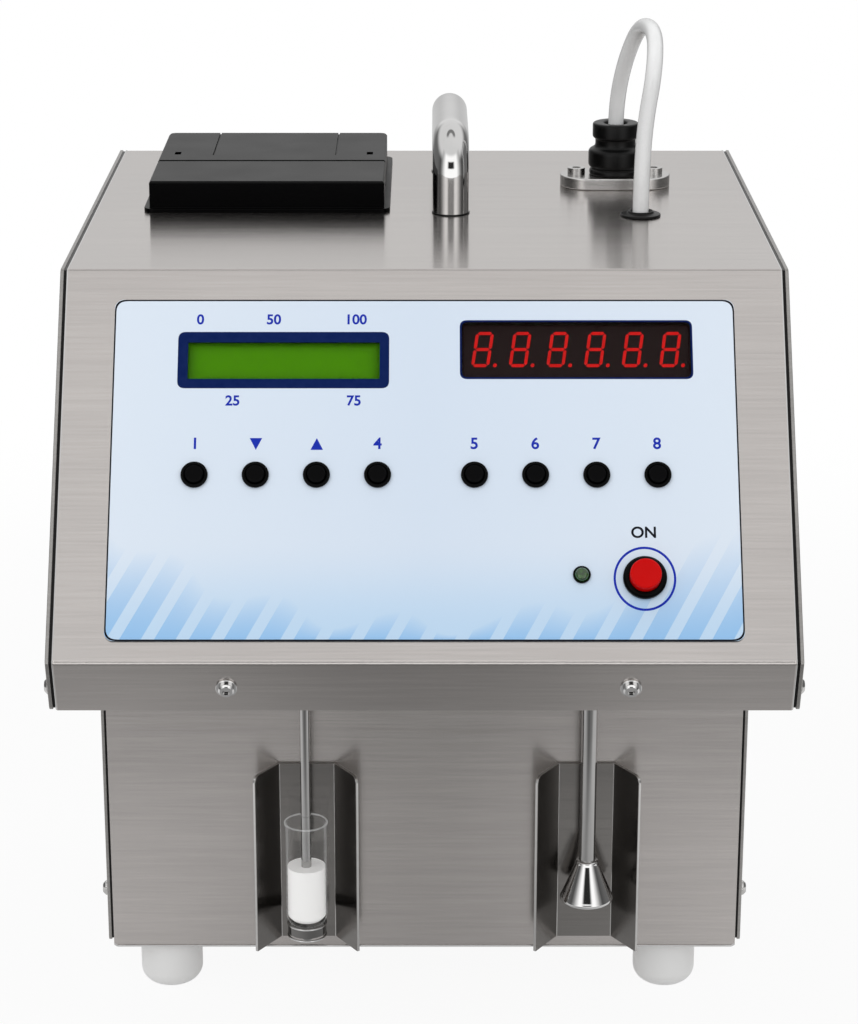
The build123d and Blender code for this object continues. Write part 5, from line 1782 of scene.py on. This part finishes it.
@dataclass
class TopFittings:
    """Handle, outlet stopper, grommet and hose."""

    paint: Palette
    bar_radius: float = 6.75 * MM
    bar_bend: float = 12.0 * MM
    hose_radius: float = 3.0 * MM
    hose_length: float = 143.6 * MM
    route: tuple[Triple, ...] = (
        (0.0739, 0.07305, 0.3352),
        (0.0739, 0.07305, 0.3460),
        (0.0766, 0.0660, 0.3640),
        (0.0812, 0.0530, 0.3794),
        (0.0854, 0.0345, 0.3796),
        (0.0843, 0.0205, 0.3665),
        (0.0812, 0.0195, 0.3480),
        (0.0801, 0.0175, 0.3276),
        (0.0801, 0.0175, 0.3099),
    )

    def build(self) -> None:
        """Builds the fittings from left to right."""
        self.handle()
        self.stopper()
        self.grommet()
        self.hose()
        dress(skin("outlet_flange", 0.5 * MM, 35.0, 3), self.paint.bright)

    def handle(self) -> None:
        """Carries the bar's circle up a leg, round a quarter circle and back mirrored."""
        low, high = corners_of("carry_handle")
        x, y = (low[:2] + high[:2]) / 2
        half = (high[1] - low[1]) / 2 - self.bar_radius
        elbow = high[2] - self.bar_radius - self.bar_bend
        angle = np.linspace(0.0, math.pi / 2, 25)
        bend = self.bar_bend * np.column_stack([-np.cos(angle), np.sin(angle)])
        bend += [self.bar_bend - half, elbow]
        leg = np.column_stack([np.full(6, -half), np.linspace(low[2], elbow, 7)[:-1]])
        ways = np.linspace(self.bar_bend - half, 0.0, 6)[1:]
        run = np.column_stack([ways, np.full(5, bend[-1, 1])])
        near = np.vstack([leg, bend, run])
        side = np.vstack([near, near[-2::-1] * [-1.0, 1.0]])
        path = np.column_stack([np.full(len(side), x), side[:, 0] + y, side[:, 1]])
        bar = swept("handle_bar", path, self.bar_radius, 64)
        stand_in(bar, "carry_handle", self.paint.polished)
        r = self.bar_radius
        section = MM * np.array([[-0.2, 0.0], [0.3, 0.0], [0.25, 0.5], [-0.2, 0.6]]) + [r, 0.0]
        rings = [turned("ring", section, (x, y + end, low[2])) for end in (-half, half)]
        add_on(joined("handle_rings", rings), self.paint.rubber)

    def stopper(self) -> None:
        """Turns the rubber stopper: base ring, bulge, neck and recessed top."""
        low, high = corners_of("rubber_stopper")
        base = high[2] - 20.1 * MM
        foot = (low[2] - base) / MM
        corners = np.array([
            [0.0, foot], [6.0, foot], [6.0, 0.0], [10.0, 0.0], [10.0, 1.8], [9.2, 2.5],
            [10.4, 3.5], [10.4, 9.5], [7.8, 11.0], [7.8, 14.1], [8.9, 14.4], [8.9, 20.1],
            [4.9, 20.1], [4.2, 19.2], [4.1, 17.1], [0.0, 17.1],
        ])
        turned_skin(
            "stopper_skin", "rubber_stopper", corners, 1.1 * MM, 6, base, self.paint.rubber
        )

    def grommet(self) -> None:
        """Turns the hose's grommet: a shallow dish with a soft lip."""
        low, high = corners_of("tube_grommet")
        deck = high[2] - 2.0 * MM
        foot = (low[2] - deck) / MM
        corners = np.array([
            [0.0, foot], [5.2, foot], [5.2, 0.0], [7.45, 0.0], [7.45, 0.9], [5.0, 1.2],
            [4.7, 2.0], [4.1, 2.0], [3.05, 0.6], [3.05, foot + 1.5], [0.0, foot + 1.5],
        ])
        turned_skin("grommet_skin", "tube_grommet", corners, 0.5 * MM, 5, deck, self.paint.rubber)

    def hose(self) -> None:
        """Lays the hose on its route as one smooth spline with a round section."""
        curve = bpy.data.curves.new("hose", "CURVE")
        curve.dimensions = "3D"
        curve.resolution_u = 24
        curve.bevel_depth = self.hose_radius
        curve.bevel_resolution = 8
        curve.use_fill_caps = True
        spline = curve.splines.new("NURBS")
        spline.points.add(len(self.route) - 1)
        points = np.column_stack([self.route, np.ones(len(self.route))])
        spline.points.foreach_set("co", points.ravel())
        spline.order_u = 3
        spline.use_endpoint_u = True
        hose = place_in_scene("hose", curve)
        stand_in(hose, "silicone_hose", self.paint.hose)


@dataclass
class Printer:
    """Panel printer: case, hinged lid, roller, paper and print head."""

    paint: Palette

    def build(self) -> None:
        """Dresses the printer's pieces."""
        for node, bevel in (("printer_case", 0.45 * MM), ("printer_lid", 0.3 * MM)):
            piece = skin(node, bevel, 30.0, 3)
            dress(piece, self.paint.printer_plastic)
            second_finish(piece, self.paint.key_plastic, lambda normals: normals[:, 1] < -0.8)
        dress(skin("platen_roller", 0.1 * MM), self.paint.rubber)
        dress(skin("paper_roll", 0.1 * MM), self.paint.paper)
        dress(skin("print_head", 0.2 * MM), self.paint.bezel_plastic)


@dataclass
class Stations:
    """What hangs and stands under the head: tube, vial, milk, stirrer and holders."""

    paint: Palette
    vial_radius: float = 7.85 * MM
    vial_wall: float = 0.45 * MM
    vial_floor: float = 1.5 * MM
    vial_height: float = 42.5 * MM
    milk_bore: float = 2.05 * MM
    milk_gap: float = 0.03 * MM
    seat_bead: float = 0.4 * MM
    seat_bead_drop: float = 0.45 * MM
    seat_bead_rise: float = 2.2 * MM
    rim_bead: float = 0.3 * MM

    def build(self) -> None:
        """Builds both stations."""
        for side in ("left", "right"):
            holder = skin(f"{side}_holder", 0.2 * MM, 30.0)
            dress(holder, self.paint.holder)
            second_finish(holder, self.paint.cut_edge, lambda normals: normals[:, 2] > 0.5)
            # The front edges and bends of each holder take the brighter steel: a painted
            # highlight.
            second_finish(holder, self.paint.bright, self.rubbed)
        # The seat takes the darker copy of the polished steel: painted shade in the holder.
        dress(skin("vial_seat", 0.3 * MM), self.paint.dark_polished)
        # Both rods take the darker steel: painted shade under the head.
        dress(skin("sample_tube", 0.0, 30.0), self.paint.rod)
        dress(skin("stirrer_rod", 0.0, 30.0), self.paint.rod)
        self.seat_beads()
        self.vial()
        self.cone()

    @staticmethod
    def rubbed(normals: np.ndarray) -> np.ndarray:
        """Picks a holder's front edges and the outside of its bends, which get the brighter steel
        as a painted highlight.
        """
        across = np.abs(normals[:, 0])
        return (normals[:, 1] < -0.6) & (across > 0.04) & (across < 0.75)

    def seat_beads(self) -> None:
        """Turns two fine polished beads round the vial seat, at its top and near its foot, as
        painted highlights on the seat's edges.
        """
        low, high = corners_of("vial_seat")
        x, radius = (low[0] + high[0]) / 2, (high[0] - low[0]) / 2
        y = middle_of("sample_vial")[1]
        beads = [
            turned("bead", circle((radius - 0.15 * MM, 0.0), self.seat_bead, 16), (x, y, z))
            for z in (high[2] - self.seat_bead_drop, low[2] + self.seat_bead_rise)
        ]
        add_on(joined("seat_beads", beads), self.paint.polished)

    def vial(self) -> None:
        """Turns the vial with its rolled rim, a glowing bead over the rim as a painted highlight,
        and the milk with a small rim of its own.
        """
        low = corners_of("sample_vial")[0]
        x, y = middle_of("sample_vial")[:2]
        r, wall, top = self.vial_radius, self.vial_wall, self.vial_height
        corners = np.array([
            [0.0, 0.0], [r - 1.2 * MM, 0.0], [r, 2.4 * MM], [r, top - 1.9 * MM],
            [r + 0.6 * MM, top - 1.1 * MM], [r + 0.6 * MM, top - 0.4 * MM], [r + 0.1 * MM, top],
            [r - wall, top - 0.7 * MM], [r - wall, 3.2 * MM],
            [r - wall - 1.4 * MM, self.vial_floor], [0.0, self.vial_floor],
        ])
        outline = soft_outline(corners, 0.9 * MM, 5)
        glass = turned("vial_skin", outline, (x, y, low[2]), segments=96)
        stand_in(glass, "sample_vial", self.paint.glass)
        # A separate bead over the rim stands for its highlight: a painted highlight.
        ring = circle((r + self.rim_bead, top - 0.5 * MM), self.rim_bead, 16)
        rim = turned("vial_rim_highlight", ring, (x, y, low[2]), segments=96)
        add_on(rim, self.paint.rim, body_of("sample_vial"))
        depth = corners_of("milk_sample")[1][2] - low[2]
        inner = r - wall - self.milk_gap
        bore = self.milk_bore
        corners = np.array([
            [0.0, self.vial_floor + 0.05 * MM], [inner - 1.4 * MM, self.vial_floor + 0.05 * MM],
            [inner, 3.2 * MM], [inner, depth], [inner - 0.5 * MM, depth - 0.35 * MM],
            [bore, depth - 0.35 * MM],
        ])
        below = np.array([[bore, 2.2 * MM], [0.0, 2.2 * MM]])
        profile = np.vstack([soft_outline(corners, 0.35 * MM, 4), below])
        milk = turned("milk_skin", profile, (x, y, low[2]), segments=96)
        stand_in(milk, "milk_sample", self.paint.milk)

    def cone(self) -> None:
        """Turns the stirrer's cone: a collar, a straight flank and a rolled rim."""
        low, high = corners_of("stirrer_cone")
        height = (high[2] - low[2]) / MM
        corners = np.array([
            [0.0, 0.0], [9.0, 0.0], [10.3, 0.9], [10.3, 1.8], [9.75, 2.9],
            [4.5, height - 1.6], [4.3, height - 0.5], [3.7, height], [0.0, height],
        ])
        turned_skin(
            "cone_skin", "stirrer_cone", corners, 0.5 * MM, 5, low[2], self.paint.polished, 96
        )


@dataclass
class Works:
    """Boards, supply, sensor, pump and the rear's connectors."""

    paint: Palette

    def build(self) -> None:
        """Dresses what lies inside and behind."""
        nodes = frame["nodes"]
        plain = {
            "front_board": self.paint.board,
            "main_board": self.paint.board,
            "board_standoffs": self.paint.brass,
            "power_supply": self.paint.alloy,
            "sensor_block": self.paint.alloy,
            "stirrer_driver": self.paint.alloy,
            "pump_motor": self.paint.motor,
            "pump_rotor": self.paint.white_plastic,
        }
        for node, material in plain.items():
            dress(nodes[node], material)
        dress(skin("power_inlet", 0.3 * MM), self.paint.bezel_plastic)
        dress(skin("switch_rocker", 0.25 * MM), self.paint.key_plastic)
        dress(skin("serial_port", 0.2 * MM), self.paint.bright)


# Studio


@dataclass
class Studio:
    """Camera, soft lamps, pale floor and the room that polished metal mirrors."""

    camera_place: Triple = (0.0, -1.05267, 0.54957)
    pitch: float = 18.19
    lens: float = 103.37
    shift_x: float = 0.0044
    floor_radius: float = 0.95
    floor_grey: float = 0.75
    room_grey: float = 0.50
    ceiling: float = 0.91
    floor_fade: Pair = (0.45, 0.9)
    floor_white: float = 0.93
    floor_mirrored: float = 0.96
    tone_near: tuple[float, ...] = (0.0, 0.14, 0.64, 1.0)
    tone_far: tuple[float, ...] = (0.16, 0.30, 0.0, 0.3)
    tone_ahead: tuple[float, ...] = (0.17, 0.31, 0.70, 0.29)
    pale_above: Pair = (0.55, 0.7)
    pale_aside: tuple[Pair, Pair] = ((0.25, 0.4), (0.28, 0.6))
    pale_behind: tuple[Pair, Pair] = ((0.78, 0.92), (0.05, 0.3))
    gap_turn: Pair = (0.07, 0.15)
    gap_foot: Pair = (0.13, 0.19)
    gap_top: Pair = (0.39, 0.45)
    strip_foot: Pair = (0.92, 0.95)
    strip_top: Pair = (0.98, 0.995)
    aim: Triple = (0.0, 0.0, 0.18)
    softboxes: tuple[tuple[str, Triple, float, float], ...] = (
        ("key_lamp", (-0.75, -0.95, 1.35), 1.8, 9.5),
        ("fill_lamp", (0.95, -0.75, 1.0), 1.2, 3.6),
        ("top_lamp", (0.0, 0.35, 1.5), 1.3, 4.5),
    )
    horizon: tuple[Pair, ...] = (
        (0.0, 1.5), (0.2, 1.5), (0.33, 0.38), (0.40, 0.10), (0.52, 0.17), (0.78, 0.20),
        (0.92, 0.62),
    )

    def build(self) -> None:
        """Builds the studio."""
        self.camera()
        self.floor()
        self.world()
        self.lamps()
        bpy.context.scene.view_settings.view_transform = "Standard"

    def camera(self) -> None:
        """Puts the camera where the photograph was taken from."""
        data = bpy.data.cameras.new("camera")
        data.lens = self.lens
        data.shift_x = self.shift_x
        data.clip_end = 20.0
        camera = place_in_scene("camera", data)
        camera.location = self.camera_place
        camera.rotation_euler = (math.radians(90.0 - self.pitch), 0.0, 0.0)
        bpy.context.scene.camera = camera

    def floor(self) -> None:
        """Lays a round pale floor that keeps the shadow and fades to white for the eye."""
        rim = self.floor_radius
        outline = circle((0.0, 0.0), rim, 96)
        points = np.column_stack([outline, np.zeros(len(outline))])
        floor = make_piece("floor", points, [range(len(points))], None)
        sheet = Sheet("floor_paper")
        patch = sheet.patches(3.0)
        sheet.feed("Base Color", sheet.ramp(patch, [
            (0.0, (self.floor_grey,) * 3), (1.0, (self.floor_grey + 0.015,) * 3)]))
        sheet.set(Roughness=0.9, Specular_IOR_Level=0.0)
        reach = sheet.nodes.new("ShaderNodeVectorMath")
        reach.operation = "LENGTH"
        sheet.links.new(sheet.coordinates, reach.inputs[0])
        near, far = (rim * share for share in self.floor_fade)
        fade = sheet.eased(reach.outputs["Value"], near, far, self.floor_white, 1.0)
        seen, mirrored = sheet.sight()
        plain = sheet.math("MULTIPLY", seen, fade)
        share = sheet.math("MAXIMUM", plain, sheet.math("MULTIPLY", mirrored, self.floor_mirrored))
        glow = sheet.nodes.new("ShaderNodeEmission")
        tone = sheet.blend(seen, self.mirrored_floor(sheet), (1.0, 1.0, 1.0))
        sheet.links.new(tone, glow.inputs["Color"])
        mix = sheet.nodes.new("ShaderNodeMixShader")
        sheet.links.new(share, mix.inputs["Fac"])
        sheet.links.new(sheet.shader.outputs[0], mix.inputs[1])
        sheet.links.new(glow.outputs[0], mix.inputs[2])
        sheet.links.new(mix.outputs[0], sheet.nodes["Material Output"].inputs["Surface"])
        dress(floor, sheet.material)

    def mirrored_floor(self, sheet: Sheet) -> Socket:
        """Tone that metal mirrors of the floor: dim straight ahead and far in front.

        Args:
            sheet: The material being built.

        Returns:
            The tone.
        """
        x, y, _ = sheet.split(sheet.coordinates)
        aside, ahead = sheet.math("ABSOLUTE", x), sheet.math("MULTIPLY", y, -1.0)
        near, far = sheet.eased(aside, *self.tone_near), sheet.eased(aside, *self.tone_far)
        depth = sheet.eased(ahead, *self.tone_ahead)
        return sheet.math("MULTIPLY", sheet.math("ADD", near, far), depth)

    def world(self) -> None:
        """Makes the room: white to the eye, even grey as light, shaded for mirrors.

        Mirrors see a pale ceiling. Lower down, their tone follows the way round from the
        front: pale at both front corners, dim at the sides and paler behind, with a narrow
        dark gap straight ahead. A dim strip hangs high up, just behind.
        """
        world = bpy.data.worlds.new("room")
        bpy.context.scene.world = world
        world.use_nodes = True
        world.node_tree.nodes.clear()
        room = Graph(world.node_tree)
        coordinates = room.nodes.new("ShaderNodeTexCoord")
        x, y, z = room.split(coordinates.outputs["Generated"])
        ahead = room.math("MULTIPLY", y, -1.0)
        turn = room.math("DIVIDE", room.math("ABSOLUTE", room.math("ARCTAN2", x, ahead)), math.pi)
        low = room.ramp(turn, [(place, (tone,) * 3) for place, tone in self.horizon])
        over = room.eased(z, *self.pale_above)
        for turns, heights in (self.pale_aside, self.pale_behind):
            wall = room.math("MULTIPLY", room.eased(turn, *turns), room.eased(z, *heights))
            over = room.math("MAXIMUM", over, wall)
        walls = room.blend(over, low, (self.ceiling,) * 3)
        band = room.band(z, self.gap_foot, self.gap_top, 0.98)
        gap = room.math("MULTIPLY", room.eased(turn, *self.gap_turn, 1.0, 0.0), band)
        strip = room.band(z, self.strip_foot, self.strip_top, 0.7)
        dark = room.math("MAXIMUM", gap, room.math("MULTIPLY", strip, room.eased(y, -0.1, 0.1)))
        mirror = room.blend(dark, walls, (0.0, 0.0, 0.0))
        seen, mirrored = room.sight()
        lit = room.blend(mirrored, (self.room_grey,) * 3, mirror)
        background = room.nodes.new("ShaderNodeBackground")
        room.links.new(room.blend(seen, lit, (1.0, 1.0, 1.0)), background.inputs["Color"])
        output = room.nodes.new("ShaderNodeOutputWorld")
        room.links.new(background.outputs[0], output.inputs["Surface"])

    def lamps(self) -> None:
        """Hangs softboxes over the front left, on the right and overhead, aimed at the part."""
        for name, place, size, power in self.softboxes:
            data = bpy.data.lights.new(name, "AREA")
            data.shape = "SQUARE"
            data.size = size
            data.energy = power
            lamp = place_in_scene(name, data)
            lamp.location = place
            lamp.visible_glossy = False
            aim = Vector(self.aim) - Vector(place)
            lamp.rotation_euler = aim.to_track_quat("-Z", "Y").to_euler()


def main() -> None:
    """Builds every sub-assembly in order."""
    logging.basicConfig(level=logging.INFO, format="%(name)s: %(message)s")
    face = LeaningFace(-67.45 * MM, 313.6 * MM, 82.0 * MM, 113.3 * MM)
    paint = Palette()
    assemblies = [
        Cabinet(paint),
        FrontPanel(paint, face),
        TopFittings(paint),
        Printer(paint),
        Stations(paint),
        Works(paint),
        Studio(),
    ]
    for assembly in assemblies:
        assembly.build()
        log.info("built %s", type(assembly).__name__)


if __name__ == "__main__":
    main()
